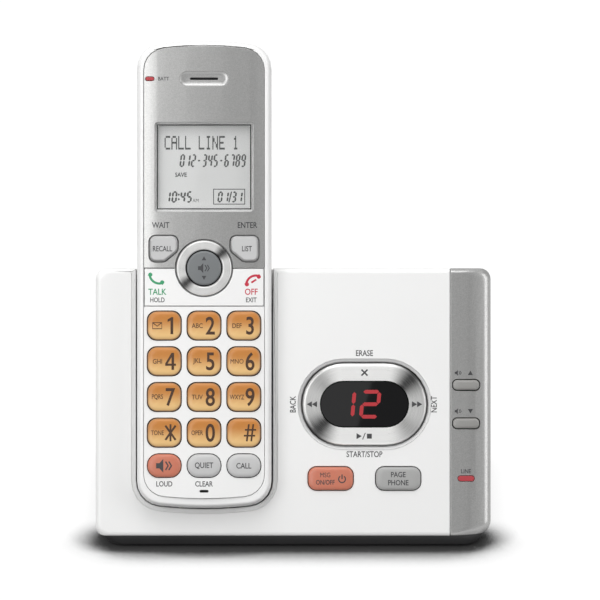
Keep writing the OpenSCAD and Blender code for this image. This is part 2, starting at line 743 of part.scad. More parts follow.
// Oval key ring with the message counter inside it
module in_ring() on_face() at(ring_u, ring_v) children();
module display_lens() color(black) in_ring() difference() {
    plate(stadium(lens_w, lens_h), base_board_w, lens_proud);
    plate(stadium(lens_w - 2 * lens_wall, lens_h - 2 * lens_wall), base_board_w - 1, -lens_front);
}
module led_display() color([0.5, 0.08, 0.08]) in_ring()
    plate(rounded_box(lens_w - lens_h, lens_h - 2 * lens_wall - 1, led_corner_r),
          base_board_w, -lens_front - led_gap);
module oval_key_ring() color(silver) in_ring() difference() {
    union() {
        hull() for (t = [0:30:90]) let (in = 2 * ring_edge_w * (1 - cos(t)))
            plate(stadium(ring_w - in, ring_h - in),
                  ring_flange_top - weld, ring_rise - ring_edge_h * (1 - sin(t)));
        plate(stadium(ring_w + 2 * ring_flange, ring_h + 2 * ring_flange), ring_flange_top - ring_flange_t,
              ring_flange_top);
    }
    plate(stadium(ring_w - 2 * ring_band, ring_h - 2 * ring_band), -cut_d, cut_d);
}
module oval_key_pad() color(rubber_grey) in_ring() difference() {
    plate(stadium(ring_w - 2 * pad_inset, ring_h - 2 * pad_inset), pad_top - pad_t, pad_top);
    plate(stadium(lens_w + 2 * pad_bore_fit, lens_h + 2 * pad_bore_fit), -2 * cut_d, cut_d);
}

// Other keys of the base
module base_key(side) on_face() at(base_key_u(side), base_key_mid) {
    button(base_key_w, base_key_h, base_key_r, base_key_bottom + weld, base_key_rise,
           base_key_edge_w, base_key_edge_h);
    plate(rounded_box(base_key_w + 2 * base_key_flange, base_key_h + 2 * base_key_flange, base_key_r),
          base_key_bottom, base_key_bottom + base_key_flange_t);
    rod(stem_r, base_stem_end, base_key_bottom + weld);
}
module answer_key() color(salmon) base_key(-1);
module locator_key() color(grey) base_key(1);
module volume_key(side) color(grey) on_face() at(volume_u, ring_v + side * volume_pitch / 2) {
    button(volume_w, volume_h, volume_r, volume_flange + weld, volume_rise, volume_edge_w, volume_edge_h);
    plate(rounded_box(volume_w + 2 * key_flange, volume_h + 2 * key_flange, volume_r), volume_flange,
          volume_flange + volume_flange_t);
    rod(stem_r, base_board_w + key_travel + stem_fit, volume_flange + weld);
}
module volume_up_key() volume_key(1);
module volume_down_key() volume_key(-1);
module in_use_light() color("red") on_face() at(volume_u, base_key_mid)
    plate(stadium(light_w, light_h), base_board_w, light_proud);
module base_key_mat() color(rubber_grey) on_face() difference() {
    plate(box_outline(ring_u - ring_w / 2, ring_u + ring_w / 2 - mat_margin, base_key_v, ring_v + ring_h / 2,
                      base_key_r), base_board_w, base_board_w + base_mat_t);
    at(ring_u, ring_v) plate(stadium(lens_w + 2 * post_fit, lens_h + 2 * post_fit), -2 * cut_d, cut_d);
}

// Handset cases
module front_form() hull() for (s = front_slices) plate(handset_outline(s[1]), parting, s[0]);
module back_form() hull() for (s = back_slices) plate(handset_outline(s[1]), s[0], parting);
// Keeps what lies under the panel's crown
module crowned() intersection() {
    children();
    translate([0, far, 0]) rotate([90, 0, 0]) linear_extrude(2 * far) polygon(concat(
        arc(0, handset_top - crown_r, crown_r, 90 + crown_a, 90 - crown_a, 16), [[far, 0], [-far, 0]]));
}
// Outline of a soft key, with a slanted inner side
module soft_shape(side, grow) hull() for (c = [
    [soft_u, soft_v + soft_h], [soft_u - soft_w, soft_v + soft_h], [soft_u - soft_w, soft_v + soft_h * 0.75],
    [soft_u - soft_w + soft_slant, soft_v], [soft_u, soft_v]])
    at(side * (c[0] + (c[0] == soft_u ? -soft_r : soft_r)), c[1] + (c[1] == soft_v ? soft_r : -soft_r))
        circle(r = soft_r + grow, $fn = 24);
module soft_block(side, grow, from, to)
    translate([0, 0, from]) linear_extrude(to - from) soft_shape(side, grow);
module case_posts() {
    both_sides(pin_post_spread, ear_v - pin_post_drop) rod(pin_post_r, board_top, plate_seat - weld);
    both_sides(pin_post_spread, mic_v) rod(pin_post_r, board_top, plate_seat - weld);
    both_sides(case_screw_u, case_screw_v) rod(case_boss_r, parting + 1, plate_seat - weld);
}
module ear_slot(grow, from, to) at(0, ear_v) plate(stadium(ear_slot_w, ear_slot_h + grow), from, to);
module mic_slot() at(0, mic_v) plate(stadium(mic_slot_w, mic_slot_h), 0, far);
module charge_light_hole() at(charge_light_u, ear_v)
    plate(stadium(charge_light_w + 2 * seat_fit, charge_light_h + 2 * seat_fit), 0, far);
module handset_front_case() color(white) on_handset() difference() {
    front_form();
    difference() {
        plate(handset_outline(case_wall), parting - 1, front_wall);
        case_posts();
    }
    plate(panel_outline(-seat_fit), plate_seat, far);
    slab(-key_window_u, key_window_u, rim_bottom + chin_h - key_window_edge, call_v - call_window_edge, 0, far);
    both_sides(call_stem_u, call_mid) rod(call_hole_r, 0, far);
    both_sides(case_screw_u, case_screw_v) rod(case_screw_r + screw_fit, parting - 1, front_wall + weld);
    for (side = [-1, 1]) soft_block(side, soft_hole_grow, 0, far);
    at(0, call_top) rod(nav_disc_d / 2 + key_fit + tilt_fit, 0, far);
    at(0, window_mid)
        plate(rounded_box(window_w - 2 * window_ledge, window_h - 2 * window_ledge, window_r), 0, far);
    ear_slot(ear_room, 0, far);
    charge_light_hole();
    mic_slot();
}
module bay_block() slab(-bay_w / 2 - bay_wall, bay_w / 2 + bay_wall, bay_v - bay_wall, bay_v + bay_l + bay_wall,
                        -cradle_depth + 1, bay_floor + bay_wall);
module handset_back_case() color(white) on_handset() difference() {
    union() {
        difference() {
            back_form();
            difference() {
                plate(handset_outline(back_wall), cavity_floor, far);
                bay_block();
                both_sides(case_screw_u, case_screw_v) rod(case_boss_r + boss_wall, -cradle_depth, parting);
            }
        }
        intersection() {
            bay_block();
            slab(-far, far, -far, far, parting - 1, far);
        }
    }
    slab(-door_w / 2 - key_fit, door_w / 2 + key_fit, -far, door_top + key_fit, -far, door_seat);
    slab(-bay_w / 2, bay_w / 2, bay_v, bay_v + bay_l, -far, bay_floor);
    both_sides(case_screw_u, case_screw_v) {
        rod(case_screw_r + screw_room, -far / 4, far / 4);
        rod(case_head_r + head_fit, -far / 4, door_seat + case_head_h + door_gap);
    }
    both_sides(pin_spread, 0) translate([0, contact_hole_d / 2 - 1, pin_w])
        cube([contact_size[0] + 2 * seat_fit, contact_hole_d, contact_size[2] + 2 * seat_fit], center = true);
    for (i = [-sound_slots_each_way:sound_slots_each_way]) at(0, loudspeaker_v + i * sound_slot_pitch)
        plate(stadium(sound_slot_w - 2 * abs(i), sound_slot_h), -far / 4, cavity_floor + 1);
}
module battery_door() color(white) on_handset() intersection() {
    back_form();
    slab(-door_w / 2, door_w / 2, door_v, door_top, -far, door_seat - door_gap);
}
module battery_pack() color([0.2, 0.45, 0.3]) on_handset()
    both_sides(cell_d / 2 - cell_overlap, bay_v + bay_gap) translate([0, 0, bay_floor - door_gap - cell_d / 2])
        rotate([-90, 0, 0]) cylinder(d = cell_d, h = cell_l);
module charge_plates() color("gold") on_handset() both_sides(pin_spread, contact_v)
    translate([-contact_size[0] / 2, 0, pin_w - contact_size[2] / 2]) cube(contact_size);
module handset_screws() color("silver") on_handset() both_sides(case_screw_u, case_screw_v)
    translate([0, 0, door_seat + door_gap]) difference() {
        union() {
            rod(case_head_r, 0, case_head_h);
            rod(case_screw_r, weld, front_wall - slice_t - door_seat - door_gap);
        }
        cross_recess(-1, recess_d);
    }

// Front panel
module panel_part(bottom, top) intersection() {
    crowned() plate(panel_outline(0), plate_seat, far / 4);
    slab(-far, far, bottom, top, 0, far);
}
module ear_dish() at(0, ear_v) hull() {
    plate(stadium(ear_dish_w, ear_dish_h), panel_edge + weld, handset_top + 1);
    plate(stadium(ear_dish_w - ear_dish_h / 2, ear_dish_h / 2), panel_edge + weld - dish_drop, handset_top + 1);
}
module upper_faceplate() color(silver) on_handset() difference() {
    panel_part(call_top + seat_fit, far);
    at(0, window_mid)
        plate(rounded_box(window_w + 2 * seat_fit, window_h + 2 * seat_fit, window_r + seat_fit), 0, far);
    at(0, call_top) rod(nav_ring_d / 2 + nav_fit, 0, far);
    for (side = [-1, 1]) soft_block(side, soft_fit, 0, far);
    ear_slot(0, 0, far);
    ear_dish();
    charge_light_hole();
}
module pad_key_hole(u, v, h, r) at(u, v)
    plate(rounded_box(key_w + 2 * key_fit, h + 2 * key_fit, r + key_fit), 0, far);
module lower_faceplate() color(white) on_handset() difference() {
    panel_part(-far, call_v - key_fit);
    for (c = [-1:1]) {
        for (r = [0:3]) pad_key_hole(c * column_pitch, dial_v + r * row_pitch, key_h, key_r);
        pad_key_hole(c * column_pitch, function_key_v, function_key_h, function_key_r);
    }
    mic_slot();
}
module call_bar() color(white) on_handset() {
    difference() {
        crowned() intersection() {
            plate(panel_outline(key_fit), plate_seat + rock_fit, far / 4);
            slab(-far, far, call_v, call_top - key_fit, 0, far);
        }
        at(0, call_top) rod(nav_ring_d / 2 + nav_fit, 0, far);
    }
    both_sides(call_stem_u, call_mid) rod(call_stem_r, mat_top + rock_fit, plate_seat + rock_fit + weld);
}
module nav_ring() color(silver) on_handset() at(0, call_top) rotate_extrude() polygon([
    [nav_bore_r, plate_seat], [nav_ring_d / 2, plate_seat], [nav_ring_d / 2, handset_top],
    [nav_ring_d / 2 - nav_chamfer, handset_top + nav_ring_rise],
    [nav_bore_r + nav_chamfer, handset_top + nav_ring_rise],
    [nav_bore_r, handset_top]]);
module nav_disc() color(grey) on_handset() at(0, call_top) rotate_extrude() polygon(concat(
    [[0, mat_top + rock_fit], [nav_disc_d / 2, mat_top + rock_fit]],
    arc(nav_disc_d / 2 - nav_edge_r, handset_top + nav_disc_rise - nav_crown - nav_edge_r,
        nav_edge_r, 0, 90, 4),
    [[0, handset_top + nav_disc_rise]]));
module soft_key(side) color(grey) on_handset() {
    soft_block(side, 0, key_bottom + weld, panel_edge + key_rise - soft_drop - soft_step_h);
    soft_block(side, -soft_step, key_bottom + weld, panel_edge + key_rise - soft_drop);
    soft_block(side, soft_flange, key_bottom, key_bottom + key_flange_t);
}
module soft_key_left() soft_key(-1);
module soft_key_right() soft_key(1);
module pad_key(u, v, h, r) on_handset() at(u, v) {
    button(key_w, h, r, key_bottom + weld, panel_edge + key_rise, key_edge_w, key_edge_h);
    plate(rounded_box(key_w + 2 * key_flange, h + 2 * key_flange, r), key_bottom, key_bottom + key_flange_t);
}

// Handset insides
module display_window() color([0.6, 0.65, 0.65, 0.5]) on_handset() at(0, window_mid)
    plate(rounded_box(window_w, window_h, window_r), plate_seat, panel_edge - window_sunk);
module lcd_panel() color([0.7, 0.75, 0.72]) on_handset() at(0, window_mid)
    plate(rounded_box(window_w + 2 * lcd_border, window_h + lcd_border, led_corner_r),
          board_top, front_wall - lcd_gap);
module earpiece() color(charcoal) on_handset() at(0, ear_v)
    rod(earpiece_d / 2, front_wall - earpiece_h, front_wall);
module loudspeaker() color(charcoal) on_handset() translate([0, loudspeaker_v, cavity_floor])
    rotate_extrude() polygon([
        [0, cone_d], [loudspeaker_d / 2 - 2 * loudspeaker_rim, cone_d / 2],
        [loudspeaker_d / 2 - loudspeaker_rim, 0], [loudspeaker_d / 2, 0], [loudspeaker_d / 2, speaker_rim_t],
        [loudspeaker_d / 4, loudspeaker_h - speaker_rim_t], [loudspeaker_d / 4, loudspeaker_h],
        [0, loudspeaker_h]]);
module microphone() color("silver") on_handset() at(0, mic_v) rod(mic_r, board_top, front_wall);
module handset_board() color(board_green) on_handset() difference() {
    intersection() {
        plate(handset_outline(case_wall + case_board_gap), board_top - board_t, board_top);
        slab(-far, far, -far, ear_v - earpiece_d / 4, -far, far);
    }
    both_sides(case_screw_u, case_screw_v) rod(case_boss_r + head_fit, -far / 4, far / 4);
    at(0, ear_v) rod(earpiece_d / 2 + head_fit, -far / 4, far / 4);
}
module key_mat() color(rubber_grey) on_handset()
    plate(box_outline(key_mat_edge - panel_w / 2, panel_w / 2 - key_mat_edge,
                      rim_bottom + chin_h - key_mat_edge, soft_v + soft_h, key_mat_r), board_top, mat_top);
module charge_light() color("red") on_handset() at(charge_light_u, ear_v)
    plate(stadium(charge_light_w, charge_light_h), front_wall, panel_edge + light_rise);

base_housing();
base_end_panel();
base_bottom();
base_feet();
base_screws();
base_board();
base_speaker();
power_jack();
line_jack();
charge_pin_left();
charge_pin_right();
display_lens();
led_display();
oval_key_ring();
oval_key_pad();
answer_key();
locator_key();
volume_up_key();
volume_down_key();
in_use_light();
base_key_mat();
handset_front_case();
handset_back_case();
upper_faceplate();
lower_faceplate();
display_window();
lcd_panel();
earpiece();
loudspeaker();
microphone();
handset_board();
key_mat();
battery_pack();
battery_door();
charge_plates();
charge_light();
handset_screws();
nav_ring();
nav_disc();
soft_key_left();
soft_key_right();
call_bar();
for (i = [0:len(DIAL_KEYS) - 1]) color(amber) pad_key((i % 3 - 1) * column_pitch, dial_v + floor(i / 3) * row_pitch, key_h, key_r);
for (i = [0:len(FUNCTION_KEYS) - 1]) color(i == 0 ? salmon : grey)
        pad_key((i - 1) * column_pitch, function_key_v, function_key_h, function_key_r);
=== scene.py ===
"""Cordless telephone: a handset standing in a leaning answering base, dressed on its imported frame."""

import json
import math

import bmesh
import bpy
from bpy.props import FloatProperty, FloatVectorProperty, PointerProperty
from mathutils import Matrix, Vector
from mathutils.bvhtree import BVHTree
from mathutils.geometry import delaunay_2d_cdt

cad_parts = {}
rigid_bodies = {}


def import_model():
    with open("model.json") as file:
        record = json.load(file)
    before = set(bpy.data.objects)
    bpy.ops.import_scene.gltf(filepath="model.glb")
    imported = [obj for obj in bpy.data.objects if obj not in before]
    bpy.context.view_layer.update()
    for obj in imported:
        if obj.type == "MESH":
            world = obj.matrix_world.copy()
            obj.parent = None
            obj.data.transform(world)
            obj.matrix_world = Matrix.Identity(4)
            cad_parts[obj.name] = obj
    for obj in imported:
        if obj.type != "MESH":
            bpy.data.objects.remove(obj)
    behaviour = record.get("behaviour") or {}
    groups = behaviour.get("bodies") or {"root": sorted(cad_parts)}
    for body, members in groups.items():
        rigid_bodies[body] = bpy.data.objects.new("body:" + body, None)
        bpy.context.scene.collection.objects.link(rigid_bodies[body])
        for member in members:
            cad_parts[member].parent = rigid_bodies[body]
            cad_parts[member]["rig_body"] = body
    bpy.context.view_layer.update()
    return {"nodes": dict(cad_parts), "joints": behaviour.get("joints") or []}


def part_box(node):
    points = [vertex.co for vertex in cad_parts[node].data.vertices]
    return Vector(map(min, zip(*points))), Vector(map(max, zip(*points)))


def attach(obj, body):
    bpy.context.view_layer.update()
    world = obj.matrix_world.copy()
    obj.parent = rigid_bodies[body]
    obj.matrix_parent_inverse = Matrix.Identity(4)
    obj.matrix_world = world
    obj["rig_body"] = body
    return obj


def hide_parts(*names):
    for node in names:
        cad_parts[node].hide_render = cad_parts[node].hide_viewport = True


bl_info = {
    "name": "Cordless Telephone",
    "version": (1, 0, 0),
    "blender": (4, 5, 0),
    "location": "3D View > Sidebar > Telephone",
    "description": "Dresses the telephone's frame with shells, keys, displays, prints and a stage",
    "category": "Object",
}

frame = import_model()
NODES = frame["nodes"]
JOINT_AXES = {joint["name"]: Vector(joint["axis"]).normalized() for joint in frame["joints"]}
MM = 0.001

# Copies of the frame's solids: how near points merge, what counts as flat, and which edges are rounded
MERGE_REACH = 2e-6
FLAT_ANGLE = math.radians(0.6)
SHARP_ANGLE = math.radians(38)
EDGE_SEGMENTS = 3

# Margins of the silver faceplate: how far in they roll, and in how many strips
ROLL_REACH = 5.5 * MM
ROLL_STEPS = 8

# Depths of the grain in moulded plastic, and of paint flakes and spun grooves
MOULD_DEPTH = 0.05 * MM
FLAKE_DEPTH = 0.03 * MM

# Prints: capitals' share of the type size, the longest edge on a curved piece, the rounds of cutting,
# and how far in front of the face a print starts when it is laid on its piece
CAPITAL_SHARE = 0.69
PRINT_EDGE = 0.9 * MM
CUT_ROUNDS = 3
CLEAR_OF_FACE = 0.2

# Depth of a key's cap above its flange
CAP_DEPTH = 2 * MM

# Axes of the leaning face: right, up along the lean, and out toward the user
FACE = Matrix((Vector((1, 0, 0)), JOINT_AXES["handset_lift"], -JOINT_AXES["key_5_press"])).transposed()
TO_FACE = FACE.transposed()


def body_of(node):
    """Name of the body that carries a node."""
    return NODES[node]["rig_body"]


def corners(points):
    """Lowest and highest corner of some points."""
    low = Vector([min(point[i] for point in points) for i in range(3)])
    high = Vector([max(point[i] for point in points) for i in range(3)])
    return low, high


def face_box(node):
    """Lowest and highest corner of a node, along the face's axes."""
    return corners([TO_FACE @ vertex.co for vertex in NODES[node].data.vertices])


def face_middle(node):
    """Middle of a node's front, along the face's axes."""
    low, high = face_box(node)
    return Vector(((low.x + high.x) / 2, (low.y + high.y) / 2, high.z))


def add_piece(name, mesh, body, material, replaced=()):
    """Links a mesh as a piece that rides on a body."""
    piece = bpy.data.objects.new(name, mesh)
    bpy.context.scene.collection.objects.link(piece)
    mesh.materials.clear()
    mesh.materials.append(material)
    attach(piece, body)
    if replaced:
        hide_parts(*replaced)


def plain_mesh(piece):
    """Turns an object with modifiers into its finished mesh and removes the object."""
    depsgraph = bpy.context.evaluated_depsgraph_get()
    mesh = bpy.data.meshes.new_from_object(piece.evaluated_get(depsgraph), depsgraph=depsgraph)
    bpy.data.objects.remove(piece)
    return mesh


def scratch(name, data):
    """Links a helper object that is turned into a plain mesh later."""
    helper = bpy.data.objects.new(name, data)
    bpy.context.scene.collection.objects.link(helper)
    return helper


def ease_edges(mesh, width):
    """Rounds a mesh's sharp edges and gives its flats steady normals."""
    for polygon in mesh.polygons:
        polygon.use_smooth = True
    helper = scratch("edge_helper", mesh)
    if width > 0:
        bevel = helper.modifiers.new("Eased Edges", "BEVEL")
        bevel.width = width
        bevel.segments = EDGE_SEGMENTS
        bevel.limit_method = "ANGLE"
        bevel.angle_limit = SHARP_ANGLE
        bevel.use_clamp_overlap = False
        bevel.miter_outer = "MITER_ARC"
    steady = helper.modifiers.new("Steady Normals", "WEIGHTED_NORMAL")
    steady.weight = 80
    steady.keep_sharp = False
    return plain_mesh(helper)


def merged_copy(node):
    """A node's solid as a clean mesh: doubles merged and flat facets joined."""
    source = NODES[node].data
    mesh = bpy.data.meshes.new(node + "_copy")
    places = [vertex.co for vertex in source.vertices]
    mesh.from_pydata(places, [], [face.vertices for face in source.polygons])
    shape = bmesh.new()
    shape.from_mesh(mesh)
    bmesh.ops.remove_doubles(shape, verts=shape.verts, dist=MERGE_REACH)
    bmesh.ops.dissolve_degenerate(shape, edges=shape.edges, dist=MERGE_REACH)
    bmesh.ops.dissolve_limit(shape, angle_limit=FLAT_ANGLE, verts=shape.verts, edges=shape.edges)
    shape.to_mesh(mesh)
    shape.free()
    return mesh


def roll_sides(mesh, drop):
    """Lets a plate's left and right margins fall away in a soft roll."""
    shape = bmesh.new()
    shape.from_mesh(mesh)
    left = min(vertex.co.x for vertex in shape.verts)
    right = max(vertex.co.x for vertex in shape.verts)
    for i in range(ROLL_STEPS):
        inset = ROLL_REACH * (i + 1) / ROLL_STEPS
        for x in (left + inset, right - inset):
            geometry = shape.verts[:] + shape.edges[:] + shape.faces[:]
            bmesh.ops.bisect_plane(shape, geom=geometry, dist=1e-7, plane_co=(x, 0, 0), plane_no=(1, 0, 0))
    for vertex in shape.verts:
        inside = min(vertex.co.x - left, right - vertex.co.x)
        fall = max(0.0, 1 - inside / ROLL_REACH)
        vertex.co -= FACE @ Vector((0, 0, drop * fall * fall))
    shape.to_mesh(mesh)
    shape.free()


def moulded_copy(node, slot, width, material=None, roll=0.0):
    """Replaces a node by its own solid with eased edges and smooth shading."""
    solid = merged_copy(node)
    if roll > 0:
        roll_sides(solid, roll)
    mesh = ease_edges(solid, width)
    add_piece(node + "_moulded", mesh, body_of(node), material or finish(slot), (node,))


def join_meshes(meshes):
    """Joins plain meshes into one."""
    shape = bmesh.new()
    for mesh in meshes:
        shape.from_mesh(mesh)
        bpy.data.meshes.remove(mesh)
    joined = bpy.data.meshes.new("joined")
    shape.to_mesh(joined)
    shape.free()
    return joined


# Node helpers shared by the geometry and shader trees
def feed(tree, node, inputs):
    """Gives a node's inputs their links or plain values."""
    for key, value in inputs.items():
        if isinstance(value, bpy.types.NodeSocket):
            tree.links.new(value, node.inputs[key])
        else:
            node.inputs[key].default_value = value


def put(tree, kind, inputs=None, **settings):
    """Adds a node, with its settings and its inputs."""
    made = tree.nodes.new(kind)
    for key, value in settings.items():
        setattr(made, key, value)
    feed(tree, made, inputs or {})
    return made


def calc(tree, operation, *terms):
    """Adds a math node and gives its result."""
    return put(tree, "ShaderNodeMath", dict(enumerate(terms)), operation=operation).outputs[0]


def blend(tree, factor, first, second, mode="MIX"):
    """Mixes two colours and gives the result."""
    mixed = {0: factor, 6: first, 7: second}
    return put(tree, "ShaderNodeMix", mixed, data_type="RGBA", blend_type=mode).outputs[2]


def spread(tree, value, low, high, to_low=0.0, to_high=1.0):
    """Maps a value's range smoothly onto another one."""
    ends = {"Value": value, "From Min": low, "From Max": high, "To Min": to_low, "To Max": to_high}
    return put(tree, "ShaderNodeMapRange", ends, interpolation_type="SMOOTHSTEP").outputs["Result"]


def between(tree, value, low, high):
    """Holds a value between two others."""
    return calc(tree, "MAXIMUM", calc(tree, "MINIMUM", value, high), low)


def distance(tree, x, y):
    """Length of a step in two directions."""
    squares = [calc(tree, "MULTIPLY", part, part) for part in (x, y)]
    return calc(tree, "SQRT", calc(tree, "ADD", *squares))


def combined(tree, *parts):
    """A vector from its parts."""
    return put(tree, "ShaderNodeCombineXYZ", dict(enumerate(parts))).outputs[0]


def split(tree, vector):
    """The three parts of a vector."""
    return put(tree, "ShaderNodeSeparateXYZ", {0: vector}).outputs


def along(tree, direction, axis):
    """How far a direction goes along one of the face's axes."""
    ways = {0: direction, 1: FACE @ Vector(axis)}
    return put(tree, "ShaderNodeVectorMath", ways, operation="DOT_PRODUCT").outputs["Value"]


def noise(tree, place, scale, **inputs):
    """A noise over a surface."""
    return put(tree, "ShaderNodeTexNoise", {"Vector": place, "Scale": scale, **inputs}).outputs[0]


def tinted(tree, colour, pattern, amount):
    """A colour that a pattern makes lighter and darker."""
    shade = calc(tree, "MULTIPLY_ADD", calc(tree, "SUBTRACT", pattern, 0.5), amount, 1.0)
    tone = put(tree, "ShaderNodeCombineColor", {0: shade, 1: shade, 2: shade}).outputs[0]
    return blend(tree, 1.0, colour, tone, "MULTIPLY")


def relief(tree, height, strength, depth):
    """Normals of a fine relief."""
    return put(tree, "ShaderNodeBump", {"Height": height, "Strength": strength, "Distance": depth}).outputs[0]


def shader_group(name, inputs, outputs):
    """Starts a shader node group and gives the tree, its inputs and its output node."""
    tree = bpy.data.node_groups.new(name, "ShaderNodeTree")
    for label, kind, value in inputs:
        tree.interface.new_socket(label, in_out="INPUT", socket_type=kind).default_value = value
    for label, kind in outputs:
        tree.interface.new_socket(label, in_out="OUTPUT", socket_type=kind)
    given = tree.nodes.new("NodeGroupInput").outputs
    return tree, given, tree.nodes.new("NodeGroupOutput")


NUMBER = "NodeSocketFloat"
COLOUR = "NodeSocketColor"
VECTOR = "NodeSocketVector"


def moulded_surface_group():
    """Fine moulding grain, soft handling marks and a faint tone shift for all plastics."""
    tree, given, out = shader_group(
        "Moulded Surface",
        [("Color", COLOUR, (0.8, 0.8, 0.8, 1)), ("Roughness", NUMBER, 0.4), ("Grain Scale", NUMBER, 3000),
         ("Tone Shift", NUMBER, 0.03), ("Gloss Shift", NUMBER, 0.08)],
        [("Color", COLOUR), ("Roughness", NUMBER), ("Height", NUMBER)])
    place = put(tree, "ShaderNodeTexCoord").outputs["Object"]
    cloud = noise(tree, place, 38.0, Detail=5.0, Roughness=0.6)
    marks = noise(tree, place, 160.0, Detail=2.0, Distortion=1.5)
    rub = calc(tree, "SUBTRACT", spread(tree, marks, 0.35, 0.7), 0.5)
    feed(tree, out, {
        "Color": tinted(tree, given["Color"], cloud, given["Tone Shift"]),
        "Roughness": calc(tree, "MULTIPLY_ADD", rub, given["Gloss Shift"], given["Roughness"]),
        "Height": noise(tree, place, given["Grain Scale"], Detail=3.0)})
    return tree


def flake_group():
    """Sparkling flakes of a silver paint, as a colour and a height."""
    tree, given, out = shader_group(
        "Silver Flakes",
        [("Color", COLOUR, (0.5, 0.5, 0.5, 1)), ("Flake Scale", NUMBER, 5200), ("Contrast", NUMBER, 0.25)],
        [("Color", COLOUR), ("Height", NUMBER)])
    place = put(tree, "ShaderNodeTexCoord").outputs["Object"]
    cells = put(tree, "ShaderNodeTexVoronoi", {"Vector": place, "Scale": given["Flake Scale"]})
    sparkle = put(tree, "ShaderNodeSeparateColor", {0: cells.outputs["Color"]}).outputs[0]
    feed(tree, out, {"Color": tinted(tree, given["Color"], sparkle, given["Contrast"]), "Height": sparkle})
    return tree


def spun_metal_reflection_group():
    """Spun metal round a centre: fine rings, with dark fans and dark ends painted into its colour as painted
    reflections of dark surroundings.
    """
    tree, given, out = shader_group(
        "Spun Metal Painted Reflections",
        [("Place", VECTOR, (0, 0, 0)), ("Color", COLOUR, (0.8, 0.8, 0.8, 1)),
         ("Painted Reflection Color", COLOUR, (0.2, 0.2, 0.2, 1)), ("Straight Length", NUMBER, 0.0),
         ("Painted Reflection Angle", NUMBER, 0.7), ("Painted Reflection Width", NUMBER, 0.35), ("Second Painted Reflection", NUMBER, 0.5),
         ("Painted End Shade", NUMBER, 0.0)],
        [("Color", COLOUR), ("Roughness", NUMBER), ("Height", NUMBER)])
    x, y = split(tree, given["Place"])[:2]
    # The centre line is a point for a round ring and a short bar for an oblong one
    half = calc(tree, "MULTIPLY", given["Straight Length"], 0.5)
    side = calc(tree, "SUBTRACT", x, between(tree, x, calc(tree, "MULTIPLY", half, -1.0), half))
    radius = distance(tree, side, y)
    turn = calc(tree, "ARCTAN2", y, side)

    # Painted reflections: dark fans and ends painted into the metal's colour by their angle round the centre
    def fan(angle):
        swing = calc(tree, "ABSOLUTE", calc(tree, "SINE", calc(tree, "SUBTRACT", turn, angle)))
        return spread(tree, swing, 0.0, given["Painted Reflection Width"], 1.0, 0.0)

    first = fan(given["Painted Reflection Angle"])
    opposite = fan(calc(tree, "MULTIPLY", given["Painted Reflection Angle"], -1.0))
    second = calc(tree, "MULTIPLY", opposite, given["Second Painted Reflection"])
    ends = calc(tree, "MULTIPLY", fan(0.0), given["Painted End Shade"])
    dark = calc(tree, "MINIMUM", calc(tree, "ADD", calc(tree, "ADD", first, second), ends), 1.0)
    rings = noise(tree, combined(tree, radius, calc(tree, "MULTIPLY", turn, 0.0002)), 9000.0, Detail=2.0)
    grooves = calc(tree, "SUBTRACT", rings, 0.5)
    grooves_and_painted_reflections = between(tree, calc(tree, "MULTIPLY_ADD", grooves, 0.5, dark), 0.0, 1.0)
    feed(tree, out, {
        "Color": blend(tree, grooves_and_painted_reflections, given["Color"], given["Painted Reflection Color"]),
        "Roughness": calc(tree, "MULTIPLY_ADD", grooves, 0.25, 0.32),
        "Height": rings})
    return tree


def colour_input(name, description, default):
    """A colour that a user may change."""
    return FloatVectorProperty(
        name=name, description=description, default=default, min=0, max=1, subtype="COLOR", size=3)


class PhoneColours(bpy.types.PropertyGroup):
    """Colours of the telephone's finishes and prints."""

    white: colour_input("White", "Moulded shells of the base and the handset", (0.85, 0.85, 0.845))
    silver: colour_input("Silver", "Painted end panel and upper faceplate", (0.41, 0.41, 0.405))
    charcoal: colour_input("Charcoal", "Tray and sockets", (0.032, 0.032, 0.033))
    metal: colour_input("Metal", "Spun trim rings", (0.77, 0.77, 0.76))
    # The rings' dark fans are painted reflections in their colour
    metal_fan: colour_input("Metal Painted Reflections", "Dark fans of the spun rings", (0.045, 0.045, 0.045))
    # The dial keys' three colours paint light: a darker orange top as painted shade, a yellow lower half as a
    # painted highlight, and a brown rim as painted shade of the gap round the key.
    amber_top: colour_input("Amber Top", "Upper half of a dial key", (0.52, 0.20, 0.035))
    amber_low: colour_input("Amber Lit Low", "Lower half of a dial key", (0.80, 0.52, 0.22))
    amber_rim: colour_input("Amber Shaded Rim", "Brown edge of a dial key", (0.40, 0.22, 0.11))
    salmon: colour_input("Salmon", "Answer key and speaker key", (0.57, 0.185, 0.115))
    grey_key: colour_input("Grey Keys", "Mute, intercom and soft keys", (0.53, 0.53, 0.53))
    base_grey: colour_input("Base Grey", "Locator key of the base", (0.37, 0.37, 0.365))
    volume_grey: colour_input("Volume Grey", "Volume keys of the base", (0.28, 0.275, 0.265))
    rocker: colour_input("Rocker", "Round control in the spun ring", (0.17, 0.18, 0.185))
    lens: colour_input("Lens", "Smoked lens of the counter", (0.004, 0.004, 0.0045))
    counter: colour_input("Counter", "Lit digits of the counter", (0.30, 0.016, 0.022))
    lamp: colour_input("Lamps", "In-use and charge lights", (0.40, 0.05, 0.06))
    lcd: colour_input("Display", "Back of the liquid crystal display", (0.60, 0.605, 0.60))
    lcd_ink: colour_input("Display Figures", "Figures of the liquid crystal display", (0.018, 0.02, 0.018))
    ink: colour_input("Dark Print", "Dark grey words and signs", (0.042, 0.042, 0.045))
    brown_ink: colour_input("Brown Print", "Figures on the dial keys", (0.055, 0.022, 0.008))
    talk_ink: colour_input("Green Print", "Sign that starts a call", (0.03, 0.30, 0.13))
    end_ink: colour_input("Red Print", "Sign that ends a call", (0.52, 0.02, 0.05))


def number_input(name, description, default, **settings):
    """A number that a user may change."""
    return FloatProperty(name=name, description=description, default=default, **settings)


def length_input(name, description, millimetres):
    """A length that a user may change."""
    return number_input(name, description, millimetres * MM, min=0, precision=5, unit="LENGTH")


